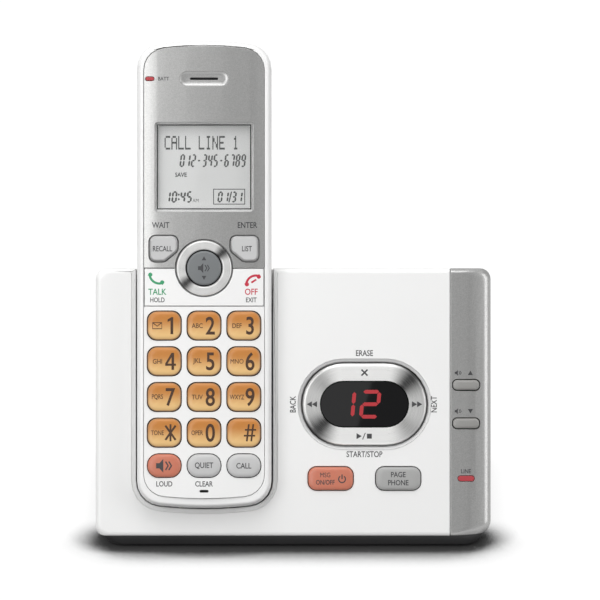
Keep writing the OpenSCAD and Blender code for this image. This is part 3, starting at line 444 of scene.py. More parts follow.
class PhoneSizes(bpy.types.PropertyGroup):
    """Sizes of the details that the dressed telephone adds to its frame."""

    shell_edge: length_input("Shell Edge", "Rounding of the shells' edges", 0.28)
    plate_roll: length_input("Plate Roll", "Fall of the silver faceplate's left and right margins", 0.4)
    small_edge: length_input("Small Edge", "Rounding of small pieces' edges", 0.14)
    print_lift: length_input("Print Lift", "Thickness of a printed sign", 0.03)
    key_crown: length_input("Key Crown", "Height of a key's crown over its edge", 0.12)
    dial_figure: length_input("Dial Figures", "Height of the figures on the dial keys", 6.3)
    label: length_input("Labels", "Height of the printed words", 2.1)
    counter_digit: length_input("Counter Digits", "Height of the lit digits", 10.6)


class PhoneStage(bpy.types.PropertyGroup):
    """Camera and lamps of the plain studio."""

    distance: number_input("Camera Distance", "From the leaning face to the camera", 2.0, unit="LENGTH")
    picture_width: number_input("Picture Width", "Width of the face plane in the picture", 0.222,
                                precision=4, unit="LENGTH")
    overhead: number_input("Overhead", "Strength of the broad light overhead", 0.4)
    top_lamp: number_input("Top Lamp", "Power of the soft lamp above", 0.7, unit="POWER")
    left_lamp: number_input("Left Lamp", "Power of the soft lamp at the left", 3.1, unit="POWER")
    right_lamp: number_input("Right Lamp", "Power of the soft lamp at the right", 2.7, unit="POWER")
    room_left: number_input("Room Left", "Brightness of the room's left half", 0.75)
    room_right: number_input("Room Right", "Brightness of the room's right half", 0.22)
    room_far: number_input("Room Far Right", "Brightness of the room at the far right", 0.6)


def rgba(colour):
    """A colour with full cover."""
    return (colour[0], colour[1], colour[2], 1.0)


def shared_group(name, maker):
    """A shader group, made the first time it is asked for."""
    return bpy.data.node_groups.get(name) or maker()


def new_material(name):
    """A material with its node tree and its shader node."""
    material = bpy.data.materials.new(name)
    material.use_nodes = True
    return material, material.node_tree, material.node_tree.nodes["Principled BSDF"]


def moulded(name, colour, roughness, grain, bump, tone, gloss, plain):
    """Plastic with the shared moulding grain, and its plain values on the shader."""
    material, tree, shader = new_material(name)
    surface = put(tree, "ShaderNodeGroup", {
        "Color": colour(tree) if callable(colour) else rgba(colour), "Roughness": roughness,
        "Grain Scale": grain, "Tone Shift": tone, "Gloss Shift": gloss},
        node_tree=shared_group("Moulded Surface", moulded_surface_group)).outputs
    feed(tree, shader, {
        "Base Color": surface["Color"], "Roughness": surface["Roughness"],
        "Normal": relief(tree, surface["Height"], bump, MOULD_DEPTH), **plain})
    return material


def amber_painted_light_colour(colours):
    """Colour of a dial key, painted light: orange above as painted shade, yellow below as a painted
    highlight, and brown along the rim as painted shade of the gap and the rounded edge.
    """
    def link(tree):
        height, rim = [put(tree, "ShaderNodeAttribute", attribute_name=name).outputs["Fac"]
                       for name in ("key_up", "key_rim")]
        # Painted light: the key darkens toward its top, and a brown rim paints the shade along its edge
        upper = spread(tree, height, -0.85, 0.55)
        middle = blend(tree, upper, rgba(colours.amber_low), rgba(colours.amber_top))
        return blend(tree, spread(tree, rim, 0.90, 1.0), middle, rgba(colours.amber_rim))
    return link


def silver_paint(name, colours):
    """Silver paint with flakes under a clear coat."""
    material, tree, shader = new_material(name)
    flakes = put(tree, "ShaderNodeGroup", {"Color": rgba(colours.silver)},
                 node_tree=shared_group("Silver Flakes", flake_group)).outputs
    feed(tree, shader, {
        "Base Color": flakes["Color"], "Normal": relief(tree, flakes["Height"], 0.05, FLAKE_DEPTH),
        "Metallic": 0.7, "Roughness": 0.3, "Coat Weight": 0.2, "Coat Roughness": 0.12})
    return material


def spun_metal_with_reflections(name, centre, painted_brightness, straight, fan_angle, fan_width, second_fan, end_shade):
    """Spun metal whose rings run round a centre on the face, with painted reflections in its colour, a
    brightness per ring that is painted light, and edges painted dark.
    """
    material, tree, shader = new_material(name)
    colours = bpy.context.scene.phone_colours
    coordinates = put(tree, "ShaderNodeTexCoord").outputs
    local = put(tree, "ShaderNodeMapping", {
        "Vector": coordinates["Object"], "Location": FACE @ centre, "Rotation": FACE.to_euler()},
        vector_type="TEXTURE").outputs[0]
    spun = put(tree, "ShaderNodeGroup", {
        "Place": local, "Color": rgba([painted_brightness * part for part in colours.metal]),
        "Painted Reflection Color": rgba(colours.metal_fan), "Straight Length": straight, "Painted Reflection Angle": fan_angle,
        "Painted Reflection Width": fan_width, "Second Painted Reflection": second_fan, "Painted End Shade": end_shade},
        node_tree=shared_group("Spun Metal Painted Reflections", spun_metal_reflection_group)).outputs
    # The ring's edges that turn away from the front are painted charcoal, a painted dark reflection along its
    # edges
    front = spread(tree, along(tree, coordinates["Normal"], (0, 0, 1)), 0.45, 0.75)
    feed(tree, shader, {
        "Base Color": blend(tree, front, rgba(colours.charcoal), spun["Color"]),
        "Roughness": spun["Roughness"], "Metallic": 0.5,
        "Normal": relief(tree, spun["Height"], 0.12, FLAKE_DEPTH)})
    return material


# Geometry trees
def geometry_tree(name, inputs):
    """Starts a geometry node tree with named inputs and gives the tree and its input sockets."""
    tree = bpy.data.node_groups.new(name, "GeometryNodeTree")
    tree.interface.new_socket("Geometry", in_out="OUTPUT", socket_type="NodeSocketGeometry")
    for label, kind in inputs:
        tree.interface.new_socket(label, in_out="INPUT", socket_type=kind)
    return tree, tree.nodes.new("NodeGroupInput").outputs


def end_tree(tree, geometry, material):
    """Ends a tree with realized geometry in its finish."""
    real = put(tree, "GeometryNodeRealizeInstances", {0: geometry})
    dressed = put(tree, "GeometryNodeSetMaterial", {"Geometry": real.outputs[0], "Material": material})
    tree.links.new(dressed.outputs[0], tree.nodes.new("NodeGroupOutput").inputs[0])


def grown(tree, name, values, points=()):
    """Runs a geometry tree on points, with its inputs set, and gives the plain mesh."""
    mesh = bpy.data.meshes.new(name)
    mesh.from_pydata(points, [], [])
    helper = scratch(name, mesh)
    modifier = helper.modifiers.new(tree.name, "NODES")
    modifier.node_group = tree
    for item in tree.interface.items_tree:
        if item.item_type == "SOCKET" and item.in_out == "INPUT" and item.name in values:
            modifier[item.identifier] = values[item.name]
    return plain_mesh(helper)


def key_cap_tree():
    """A pillow key: a rounded box whose top falls away to its edges over a quarter round."""
    tree, given = geometry_tree("Key Cap", [
        ("Width", NUMBER), ("Height", NUMBER), ("Corner", NUMBER), ("Bottom", NUMBER), ("Top", NUMBER),
        ("Edge Width", NUMBER), ("Edge Drop", NUMBER), ("Crown", NUMBER), ("Finish", "NodeSocketMaterial")])
    cells = {"Size": (2, 2, 2), "Vertices X": 33, "Vertices Y": 33, "Vertices Z": 4}
    block = put(tree, "GeometryNodeMeshCube", cells).outputs["Mesh"]
    position = split(tree, put(tree, "GeometryNodeInputPosition").outputs[0])

    def toward_edge(axis):
        return calc(tree, "SINE", calc(tree, "MULTIPLY", position[axis], math.pi / 2))

    def held(value, half):
        inner = calc(tree, "SUBTRACT", half, given["Corner"])
        return between(tree, value, calc(tree, "MULTIPLY", inner, -1.0), inner)

    across, upward = toward_edge(0), toward_edge(1)
    rim = calc(tree, "MAXIMUM", calc(tree, "ABSOLUTE", across), calc(tree, "ABSOLUTE", upward))
    half_w = calc(tree, "MULTIPLY", given["Width"], 0.5)
    half_h = calc(tree, "MULTIPLY", given["Height"], 0.5)
    # Each point goes from the square's edge to the rounded outline, and is then drawn in toward the middle
    box_x = calc(tree, "MULTIPLY", calc(tree, "DIVIDE", across, rim), half_w)
    box_y = calc(tree, "MULTIPLY", calc(tree, "DIVIDE", upward, rim), half_h)
    core_x, core_y = held(box_x, half_w), held(box_y, half_h)
    out_x, out_y = calc(tree, "SUBTRACT", box_x, core_x), calc(tree, "SUBTRACT", box_y, core_y)
    scale = calc(tree, "DIVIDE", given["Corner"], distance(tree, out_x, out_y))
    x = calc(tree, "MULTIPLY", calc(tree, "MULTIPLY_ADD", out_x, scale, core_x), rim)
    y = calc(tree, "MULTIPLY", calc(tree, "MULTIPLY_ADD", out_y, scale, core_y), rim)
    # The edge is a quarter round, and the crown falls with the square of the way to the rim
    edge_share = calc(tree, "DIVIDE", given["Edge Width"], calc(tree, "MINIMUM", half_w, half_h))
    start = calc(tree, "SUBTRACT", 1.0, edge_share)
    past = calc(tree, "DIVIDE", calc(tree, "SUBTRACT", rim, start), calc(tree, "SUBTRACT", 1.0, start))
    fall = calc(tree, "MAXIMUM", past, 0.0)
    level_part = calc(tree, "MAXIMUM", calc(tree, "SUBTRACT", 1.0, calc(tree, "MULTIPLY", fall, fall)), 0.0)
    round_drop = calc(tree, "SUBTRACT", 1.0, calc(tree, "SQRT", level_part))
    crown_drop = calc(tree, "MULTIPLY", calc(tree, "MULTIPLY", rim, rim), given["Crown"])
    drop = calc(tree, "ADD", calc(tree, "MULTIPLY", round_drop, given["Edge Drop"]), crown_drop)
    tall = calc(tree, "SUBTRACT", calc(tree, "SUBTRACT", given["Top"], drop), given["Bottom"])
    level = calc(tree, "MULTIPLY_ADD", position[2], 0.5, 0.5)
    z = calc(tree, "MULTIPLY_ADD", tall, level, given["Bottom"])
    for name, value in (("key_up", upward), ("key_rim", rim)):
        kept = {"Geometry": block, "Name": name, "Value": value}
        stored = put(tree, "GeometryNodeStoreNamedAttribute", kept, data_type="FLOAT", domain="POINT")
        block = stored.outputs[0]
    shaped = put(tree, "GeometryNodeSetPosition", {"Geometry": block, "Position": combined(tree, x, y, z)})
    smooth = put(tree, "GeometryNodeSetShadeSmooth", {0: shaped.outputs[0]})
    end_tree(tree, smooth.outputs[0], given["Finish"])
    return tree


def screw_tree():
    """Pan screws with a cross recess, one at each point, heads facing down."""
    tree, given = geometry_tree("Cross Screws", [
        ("Points", "NodeSocketGeometry"), ("Head Radius", NUMBER), ("Head Height", NUMBER),
        ("Shank Radius", NUMBER), ("Shank Length", NUMBER), ("Recess", NUMBER),
        ("Finish", "NodeSocketMaterial")])
    head = put(tree, "GeometryNodeMeshCone", {
        "Vertices": 32, "Side Segments": 3, "Fill Segments": 1, "Radius Top": given["Head Radius"],
        "Radius Bottom": calc(tree, "MULTIPLY", given["Head Radius"], 0.82), "Depth": given["Head Height"]},
        fill_type="TRIANGLE_FAN")
    # The shank starts inside the head, above the floor of the recess
    start = calc(tree, "MULTIPLY", given["Head Height"], 0.75)
    length = calc(tree, "SUBTRACT", given["Shank Length"], start)
    shank_size = {"Vertices": 24, "Radius": given["Shank Radius"], "Depth": length}
    shank = put(tree, "GeometryNodeMeshCylinder", shank_size)
    lift = combined(tree, 0.0, 0.0, calc(tree, "MULTIPLY_ADD", length, 0.5, start))
    raised = put(tree, "GeometryNodeTransform", {"Geometry": shank.outputs["Mesh"], "Translation": lift})
    # One bar of the cross is a hair shallower, so that the two floors don't lie in one plane
    slim = calc(tree, "MULTIPLY", given["Recess"], 0.24)
    shallow = calc(tree, "MULTIPLY", given["Head Height"], 0.96)
    cross = put(tree, "GeometryNodeMeshBoolean", operation="UNION")
    for size in ((given["Recess"], slim, given["Head Height"]), (slim, given["Recess"], shallow)):
        bar = put(tree, "GeometryNodeMeshCube", {"Size": combined(tree, *size)})
        tree.links.new(bar.outputs["Mesh"], cross.inputs["Mesh 2"])
    solids = {"Mesh 1": head.outputs["Mesh"], "Mesh 2": cross.outputs[0]}
    cut = put(tree, "GeometryNodeMeshBoolean", solids, operation="DIFFERENCE")
    screw = put(tree, "GeometryNodeJoinGeometry")
    for part in (cut, raised):
        tree.links.new(part.outputs[0], screw.inputs[0])
    spots = {"Points": given["Points"], "Instance": screw.outputs[0]}
    placed = put(tree, "GeometryNodeInstanceOnPoints", spots)
    end_tree(tree, placed.outputs[0], given["Finish"])
    return tree


# Printed words and signs
def text_mesh(words, height, thickness, bold, squeeze):
    """Words as a thin mesh round the origin, with their capital height."""
    curve = bpy.data.curves.new("words", "FONT")
    curve.body = words
    curve.size = height / CAPITAL_SHARE
    curve.extrude = thickness
    # Larger letters get finer curves
    curve.resolution_u = max(3, round(height / (0.7 * MM)))
    curve.offset = bold * height
    mesh = plain_mesh(scratch("words", curve))
    bpy.data.curves.remove(curve)
    mesh.transform(Matrix.Diagonal((squeeze, 1, 1, 1)))
    return centred(mesh)


def centred(mesh):
    """Moves a flat mesh so that its middle is at the origin."""
    xs = [vertex.co.x for vertex in mesh.vertices]
    ys = [vertex.co.y for vertex in mesh.vertices]
    mesh.transform(Matrix.Translation((-(min(xs) + max(xs)) / 2, -(min(ys) + max(ys)) / 2, 0)))
    return mesh


def sign_mesh(outlines, thickness):
    """Flat outlines as one thin mesh without overlaps, closed all round."""
    points, loops = [], []
    for outline in outlines:
        area = sum(a[0] * b[1] - b[0] * a[1] for a, b in zip(outline, outline[1:] + outline[:1]))
        loops.append(list(range(len(points), len(points) + len(outline))))
        # The union wants millimetres, turned to the left
        points += [Vector(point) / MM for point in (outline if area > 0 else reversed(outline))]
    places, _, triangles, _, _, sources = delaunay_2d_cdt(points, [], loops, 0, 1e-5)
    triangles = [triangle for triangle, source in zip(triangles, sources) if source]
    shape = bmesh.new()
    low = [shape.verts.new((place.x * MM, place.y * MM, -thickness)) for place in places]
    high = [shape.verts.new((place.x * MM, place.y * MM, thickness)) for place in places]
    sides = {(a, b) for t in triangles for a, b in zip(t, t[1:] + t[:1])}
    for triangle in triangles:
        shape.faces.new([high[i] for i in triangle])
        shape.faces.new([low[i] for i in reversed(triangle)])
    for a, b in sides:
        if (b, a) not in sides:
            shape.faces.new((low[a], low[b], high[b], high[a]))
    bmesh.ops.delete(shape, geom=[vertex for vertex in shape.verts if not vertex.link_faces], context="VERTS")
    mesh = bpy.data.meshes.new("sign")
    shape.to_mesh(mesh)
    shape.free()
    return mesh


def arc(x, y, radius, start, end, steps):
    """Points along an arc, in degrees."""
    angles = [math.radians(start + (end - start) * i / steps) for i in range(steps + 1)]
    return [(x + radius * math.cos(a), y + radius * math.sin(a)) for a in angles]


def stroke(points, width, closed=False):
    """Outline of a line of a given width along points."""
    left, right = [], []
    count = len(points)
    for i, (x, y) in enumerate(points):
        before = points[(i - 1) % count] if closed or i > 0 else points[i]
        after = points[(i + 1) % count] if closed or i < count - 1 else points[i]
        way = Vector((after[0] - before[0], after[1] - before[1])).normalized() * (width / 2)
        left.append((x - way.y, y + way.x))
        right.append((x + way.y, y - way.x))
    if closed:
        return [[left[i], left[(i + 1) % count], right[(i + 1) % count], right[i]] for i in range(count)]
    return [left + list(reversed(right))]


# Bars that are lit in each figure: a, g and d lie level from the top down, b and c stand right, f and e left
SEGMENTS = {"0": "abcdef", "1": "bc", "2": "abged", "3": "abgcd", "4": "fgbc", "5": "afgcd", "6": "afgedc",
            "7": "abc", "8": "abcdefg", "9": "abcdfg", "-": "g"}


def seven_segment(figure, width, height, bar, slant):
    """Outlines of a lit figure: pointed bars in an oblong, leaning to the right."""
    w, h, b = (width - bar) / 2, (height - bar) / 4, bar / 2
    level = {"a": (0, 2 * h), "d": (0, -2 * h), "g": (0, 0)}
    upright = {"b": (w, h), "c": (w, -h), "e": (-w, -h), "f": (-w, h)}
    outlines = []
    for name in SEGMENTS[figure]:
        half = (h if name in upright else w) - bar * 0.08
        points = [(-half, 0), (-half + b, b), (half - b, b), (half, 0), (half - b, -b), (-half + b, -b)]
        if name in upright:
            points = [(q, p) for p, q in points]
        x, y = (upright if name in upright else level)[name]
        outlines.append([(x + p + (y + q) * slant, y + q) for p, q in points])
    return outlines


def shifted(outlines, dx, dy, scale=1.0):
    """Outlines moved and scaled."""
    return [[(dx + x * scale, dy + y * scale) for x, y in outline] for outline in outlines]


def turned(outlines, angle):
    """Outlines turned round the origin, in degrees."""
    c, d = math.cos(math.radians(angle)), math.sin(math.radians(angle))
    return [[(x * c - y * d, x * d + y * c) for x, y in outline] for outline in outlines]


def call_sign(size, lifted):
    """A telephone receiver: a bowed bar with an ear cup at each end, lifted or laid over a short bar."""
    bow = stroke(arc(0, size * 0.52, size * 0.68, 218, 322, 12), size * 0.16)
    cups = []
    for side in (-1, 1):
        cup = [(-0.12, -0.13), (0.12, -0.13), (0.15, 0.05), (0.08, 0.15), (-0.08, 0.15), (-0.15, 0.05)]
        cups.append([(side * size * 0.5 + x * size, size * 0.12 + y * size) for x, y in cup])
    if lifted:
        return turned(bow + cups, -33)
    laid = [[(x, -y) for x, y in outline] for outline in bow + cups]
    return turned(laid + stroke([(-0.17 * size, -0.2 * size), (0.24 * size, -0.2 * size)], size * 0.13), 33)


def star_sign(height):
    """A star of three crossed strokes."""
    arms = stroke([(0, -0.5 * height), (0, 0.5 * height)], 0.11 * height)
    for way in (-0.3, 0.3):
        arms += stroke([(-way * height, -0.42 * height), (way * height, 0.42 * height)], 0.12 * height)
    return arms


def hash_sign(height):
    """A hash of two level and two leaning strokes."""
    lines = (((-0.19, -0.5), (-0.07, 0.5)), ((0.07, -0.5), (0.19, 0.5)),
             ((-0.3, 0.17), (0.36, 0.17)), ((-0.36, -0.17), (0.3, -0.17)))
    return shifted([stroke(line, 0.1)[0] for line in lines], 0, 0, height)


def four_sign(height):
    """A figure four: an upright, a slanting and a level stroke."""
    return shifted([
        [(0.06, -0.5), (0.21, -0.5), (0.21, 0.5), (0.06, 0.5)],
        [(0.06, 0.5), (-0.31, -0.13), (-0.31, -0.26), (-0.17, -0.14), (0.08, 0.28)],
        [(-0.31, -0.13), (-0.31, -0.26), (0.32, -0.26), (0.32, -0.13)]], 0, 0, height)


def one_sign(height):
    """A figure one with its flag."""
    outline = [(0.0, -0.5), (0.16, -0.5), (0.16, 0.5), (0.05, 0.5), (-0.17, 0.36), (-0.17, 0.22), (0.0, 0.3)]
    return shifted([outline], 0, 0, height)


def power_sign(size):
    """A broken ring with an upright bar."""
    ring = stroke(arc(0, 0, size * 0.42, 125, 415, 18), size * 0.14)
    return ring + stroke([(0, 0.02 * size), (0, 0.58 * size)], size * 0.14)


def speaker_sign(size):
    """A loudspeaker with two waves."""
    body = [(-0.5, -0.16), (-0.3, -0.16), (-0.06, -0.42), (-0.06, 0.42), (-0.3, 0.16), (-0.5, 0.16)]
    waves = [stroke([(x, 0.26), (x + 0.16, 0), (x, -0.26)], 0.09)[0] for x in (0.08, 0.28)]
    return shifted([body] + waves, 0, 0, size)


def envelope_sign(size):
    """A closed envelope."""
    sheet = stroke([(-0.5, -0.33), (0.5, -0.33), (0.5, 0.33), (-0.5, 0.33)], 0.1, closed=True)
    flap = stroke([(-0.46, 0.3), (0, -0.06), (0.46, 0.3)], 0.1)
    return shifted(sheet + flap, 0, 0, size)


def arrow(size, way):
    """A plain triangle that points up, down, left or right."""
    shape = [(-0.5, -0.43), (0.5, -0.43), (0, 0.43)]
    turns = {"up": (1, 0), "left": (0, 1), "down": (-1, 0), "right": (0, -1)}
    c, s = turns[way]
    return [[((x * c - y * s) * size, (x * s + y * c) * size) for x, y in shape]]


def cross_sign(size):
    """Two crossed strokes."""
    return stroke([(-0.4 * size, -0.4 * size), (0.4 * size, 0.4 * size)], 0.2 * size) + stroke(
        [(-0.4 * size, 0.4 * size), (0.4 * size, -0.4 * size)], 0.2 * size)


def cut_finely(mesh):
    """Cuts a flat print's long edges, so that it can follow a curved surface."""
    shape = bmesh.new()
    shape.from_mesh(mesh)
    bmesh.ops.triangulate(shape, faces=shape.faces)
    for _ in range(CUT_ROUNDS):
        edges = [edge for edge in shape.edges if edge.calc_length() > PRINT_EDGE]
        bmesh.ops.subdivide_edges(shape, edges=edges, cuts=1)
        bmesh.ops.triangulate(shape, faces=shape.faces)
    shape.to_mesh(mesh)
    shape.free()


def lay_on(mesh, piece, place, turn):
    """Lays a flat print on a piece's front, at a place along the face's axes."""
    cut_finely(mesh)
    target = bpy.data.objects[piece].data
    points = [vertex.co for vertex in target.vertices]
    faces = BVHTree.FromPolygons(points, [face.vertices for face in target.polygons])
    mesh.transform(Matrix.Translation((place[0], place[1], 0)) @ Matrix.Rotation(turn, 4, "Z"))
    for vertex in mesh.vertices:
        start = FACE @ Vector((vertex.co.x, vertex.co.y, CLEAR_OF_FACE))
        hit = faces.ray_cast(start, FACE @ Vector((0, 0, -1)))
        if hit[0] is None:
            raise RuntimeError("a print lies off its piece")
        vertex.co = hit[0] + FACE @ Vector((0, 0, vertex.co.z))
    return mesh


# Colour, roughness, grain scale, bump, tone shift and gloss shift of each plastic, rubber, metal and ink
SURFACES = {
    "white_plastic": ("white", 0.34, 2600, 0.05, 0.015, 0.06),
    "charcoal_plastic": ("charcoal", 0.5, 1700, 0.25, 0.12, 0.1),
    "foot_rubber": ((0.022, 0.022, 0.023), 0.8, 1100, 0.3, 0.2, 0.1),
    "key_mat_rubber": ((0.04, 0.04, 0.042), 0.7, 1500, 0.15, 0.08, 0.1),
    "screw_steel": ((0.55, 0.55, 0.56), 0.34, 4200, 0.08, 0.1, 0.15),
    "contact_metal": ((0.82, 0.78, 0.66), 0.2, 4200, 0.04, 0.08, 0.12),
    "circuit_board": ((0.03, 0.16, 0.07), 0.36, 700, 0.12, 0.3, 0.1),
    "smoked_lens": ("lens", 0.012, 3000, 0.0, 0.05, 0.004),
    "led_module": ((0.2, 0.02, 0.02), 0.4, 1500, 0.1, 0.1, 0.1),
    "grey_key": ("grey_key", 0.4, 2600, 0.06, 0.04, 0.08),
    "base_grey_key": ("base_grey", 0.4, 2600, 0.06, 0.08, 0.08),
    "volume_key": ("volume_grey", 0.4, 2600, 0.06, 0.04, 0.08),
    "rocker_plastic": ("rocker", 0.36, 2600, 0.08, 0.06, 0.08),
    "salmon_key": ("salmon", 0.36, 2600, 0.06, 0.05, 0.08),
    "amber_key": ("amber_top", 0.34, 2600, 0.05, 0.05, 0.08),
    "red_light": ("lamp", 0.22, 2000, 0.03, 0.1, 0.05),
    "clear_window": ((0.9, 0.92, 0.92), 0.04, 3000, 0.002, 0.02, 0.01),
    "lcd_glass": ("lcd", 0.32, 5200, 0.0, 0.05, 0.04),
    "battery_wrap": ((0.05, 0.24, 0.1), 0.28, 900, 0.06, 0.15, 0.1),
    "counter_glow": ("counter", 0.4, 2000, 0.02, 0.1, 0.05),
    "lcd_print": ("lcd_ink", 0.5, 3500, 0.04, 0.15, 0.1),
    "dark_print": ("ink", 0.5, 3500, 0.04, 0.15, 0.1),
    "brown_print": ("brown_ink", 0.45, 3500, 0.04, 0.15, 0.1),
    "green_print": ("talk_ink", 0.45, 3500, 0.04, 0.12, 0.1),
    "red_print": ("end_ink", 0.45, 3500, 0.04, 0.12, 0.1)}

# Values that are the same all over a surface, set on its shader
PLAIN_VALUES = {
    "white_plastic": {"Coat Weight": 0.12},
    "screw_steel": {"Metallic": 0.95},
    "contact_metal": {"Metallic": 1.0},
    "circuit_board": {"Coat Weight": 0.3},
    "salmon_key": {"Subsurface Weight": 0.12, "Subsurface Scale": 0.001},
    "red_light": {"Emission Strength": 0.12},
    "counter_glow": {"Emission Strength": 0.5},
    "clear_window": {"Alpha": 0.04},
    "lcd_glass": {"Coat Weight": 1.0, "Coat IOR": 2.0, "Coat Roughness": 0.02},
    "battery_wrap": {"Coat Weight": 0.4}}


def finish(kind):
    """A material of this telephone, made the first time it is asked for."""
    name = "dressed_" + kind
    found = bpy.data.materials.get(name)
    if found:
        return found
    colours = bpy.context.scene.phone_colours
    if kind == "silver_paint":
        return silver_paint(name, colours)
    colour, *surface = SURFACES[kind]
    if isinstance(colour, str):
        colour = getattr(colours, colour)
    plain = dict(PLAIN_VALUES.get(kind, {}))
    if "Emission Strength" in plain:
        plain["Emission Color"] = rgba(colour)
    if kind == "amber_key":
        colour = amber_painted_light_colour(colours)
    return moulded(name, colour, *surface, plain)


def word(piece, words, place, height, squeeze=0.86, bold=0.02, turn=0.0):
    """A printed word laid on a piece."""
    # The letter M keeps its plain width, since widening folds it over
    bold = 0.0 if "M" in words else bold
    flat = text_mesh(words, height, bpy.context.scene.phone_sizes.print_lift, bold, squeeze)
    return lay_on(flat, piece, place, turn)


def sign(piece, outlines, place):
    """A printed sign laid on a piece."""
    return lay_on(sign_mesh(outlines, bpy.context.scene.phone_sizes.print_lift), piece, place, 0.0)


def add_print(name, prints, body, ink):
    """Joins printed words and signs as one piece."""
    add_piece(name, join_meshes(prints), body, finish(ink))


def beside(node, right, up):
    """A place on the face, in millimetres right of and above a node's middle."""
    middle = face_middle(node)
    return middle.x + right * MM, middle.y + up * MM


class PHONE_OT_shells(bpy.types.Operator):
    """Makes the housings, cases, tray and faceplates from their solids, with eased edges"""

    bl_idname = "phone.shells"
    bl_label = "Shells and Cases"

    def execute(self, context):
        sizes = context.scene.phone_sizes
        for node in ("base_housing", "handset_front_case", "handset_back_case", "call_bar", "battery_door"):
            moulded_copy(node, "white_plastic", sizes.shell_edge)
        # The faceplates' edges are finer, since narrow strips of them lie between the keys and the margins
        moulded_copy("lower_faceplate", "white_plastic", sizes.small_edge)
        moulded_copy("base_end_panel", "silver_paint", sizes.shell_edge)
        moulded_copy("upper_faceplate", "silver_paint", sizes.small_edge, roll=sizes.plate_roll)
        moulded_copy("base_bottom", "charcoal_plastic", sizes.shell_edge)
        return {"FINISHED"}


def cap_box(node):
    """Middle, width, height and top of a key's cap, above its flange, along the face's axes."""
    top = face_box(node)[1].z
    points = [TO_FACE @ vertex.co for vertex in NODES[node].data.vertices]
    low, high = corners([point for point in points if point.z > top - CAP_DEPTH])
    return (low.x + high.x) / 2, (low.y + high.y) / 2, high.x - low.x, high.y - low.y, top


def key_piece(node, slot, corner, edge_width, edge_drop, kind=None):
    """Replaces a key by a pillow cap of its size, with a corner and an edge in millimetres."""
    material = finish(kind or slot)
    tree = bpy.data.node_groups.get("Key Cap") or key_cap_tree()
    x, y, width, height, top = cap_box(node)
    mesh = grown(tree, node + "_cap", {
        "Width": width, "Height": height, "Corner": corner * MM, "Bottom": face_box(node)[0].z - top,
        "Top": 0.0, "Edge Width": edge_width * MM, "Edge Drop": edge_drop * MM,
        "Crown": bpy.context.scene.phone_sizes.key_crown, "Finish": material})
    mesh.transform(FACE.to_4x4() @ Matrix.Translation((x, y, top)))
    add_piece(node + "_cap", mesh, body_of(node), material, (node,))


# Figure and letters of each dial key
DIAL_MARKS = {
    "key_1": ("1", ""), "key_2": ("2", "ABC"), "key_3": ("3", "DEF"), "key_4": ("4", "GHI"),
    "key_5": ("5", "JKL"), "key_6": ("6", "MNO"), "key_7": ("7", "PQRS"), "key_8": ("8", "TUV"),
    "key_9": ("9", "WXYZ"), "key_star": ("*", "TONE"), "key_0": ("0", "OPER"), "key_hash": ("#", "")}

# Figures that are drawn, not typed
DRAWN_FIGURES = {"1": one_sign, "4": four_sign, "*": star_sign, "#": hash_sign}


class PHONE_OT_keypad(bpy.types.Operator):
    """Makes the dial keys and the bottom row of keys, with their figures and signs"""

    bl_idname = "phone.keypad"
    bl_label = "Keypad"

    def execute(self, context):
        tall = context.scene.phone_sizes.dial_figure
        for node, (figure, letters) in DIAL_MARKS.items():
            key_piece(node, "amber_key", corner=3.6, edge_width=1.7, edge_drop=1.0)
            cap = node + "_cap"
            if figure in DRAWN_FIGURES:
                marks = [sign(cap, DRAWN_FIGURES[figure](tall), beside(node, 2.3, 0))]
            else:
                marks = [word(cap, figure, beside(node, 2.3, 0), tall, 0.8, 0.022)]
            if letters:
                squeeze = 0.86 if len(letters) < 4 else 0.72
                marks.append(word(cap, letters, beside(node, -2.5, 0), 1.7 * MM, squeeze, 0.012))
            if node == "key_1":
                marks.append(sign(cap, envelope_sign(3.4 * MM), beside(node, -2.6, 0)))
            add_print(node + "_print", marks, node, "brown_print")
        for node, slot, words in (("speaker_key", "salmon_key", ""), ("mute_key", "grey_key", "QUIET"),
                                  ("intercom_key", "grey_key", "CALL")):
            key_piece(node, slot, corner=4.1, edge_width=1.6, edge_drop=0.9)
            cap, place = node + "_cap", beside(node, 0, 0)
            if words:
                mark = word(cap, words, place, 2.0 * MM, 0.82)
            else:
                mark = sign(cap, speaker_sign(6.0 * MM), place)
            add_print(node + "_print", [mark], node, "dark_print")
        return {"FINISHED"}


class PHONE_OT_base_keys(bpy.types.Operator):
    """Makes the answer, locator and volume keys of the base, with their words"""

    bl_idname = "phone.base_keys"
    bl_label = "Base Keys"

    def execute(self, context):
        key_piece("answer_key", "salmon_key", corner=3.0, edge_width=1.4, edge_drop=0.9)
        key_piece("locator_key", "grey_key", corner=3.0, edge_width=1.4, edge_drop=0.9, kind="base_grey_key")
        for node in ("volume_up_key", "volume_down_key"):
            key_piece(node, "grey_key", corner=1.6, edge_width=1.0, edge_drop=0.7, kind="volume_key")
        words = [word("answer_key_cap", "MSG", beside("answer_key", -2.0, 1.35), 1.7 * MM, 0.82),
                 word("answer_key_cap", "ON/OFF", beside("answer_key", -2.0, -1.35), 1.7 * MM, 0.78),
                 sign("answer_key_cap", power_sign(3.0 * MM), beside("answer_key", 4.2, -0.2))]
        add_print("answer_key_print", words, "answer_key", "dark_print")
        words = [word("locator_key_cap", "PAGE", beside("locator_key", 0, 1.5), 1.9 * MM, 0.84),
                 word("locator_key_cap", "PHONE", beside("locator_key", 0, -1.5), 1.9 * MM, 0.84)]
        add_print("locator_key_print", words, "locator_key", "dark_print")
        return {"FINISHED"}


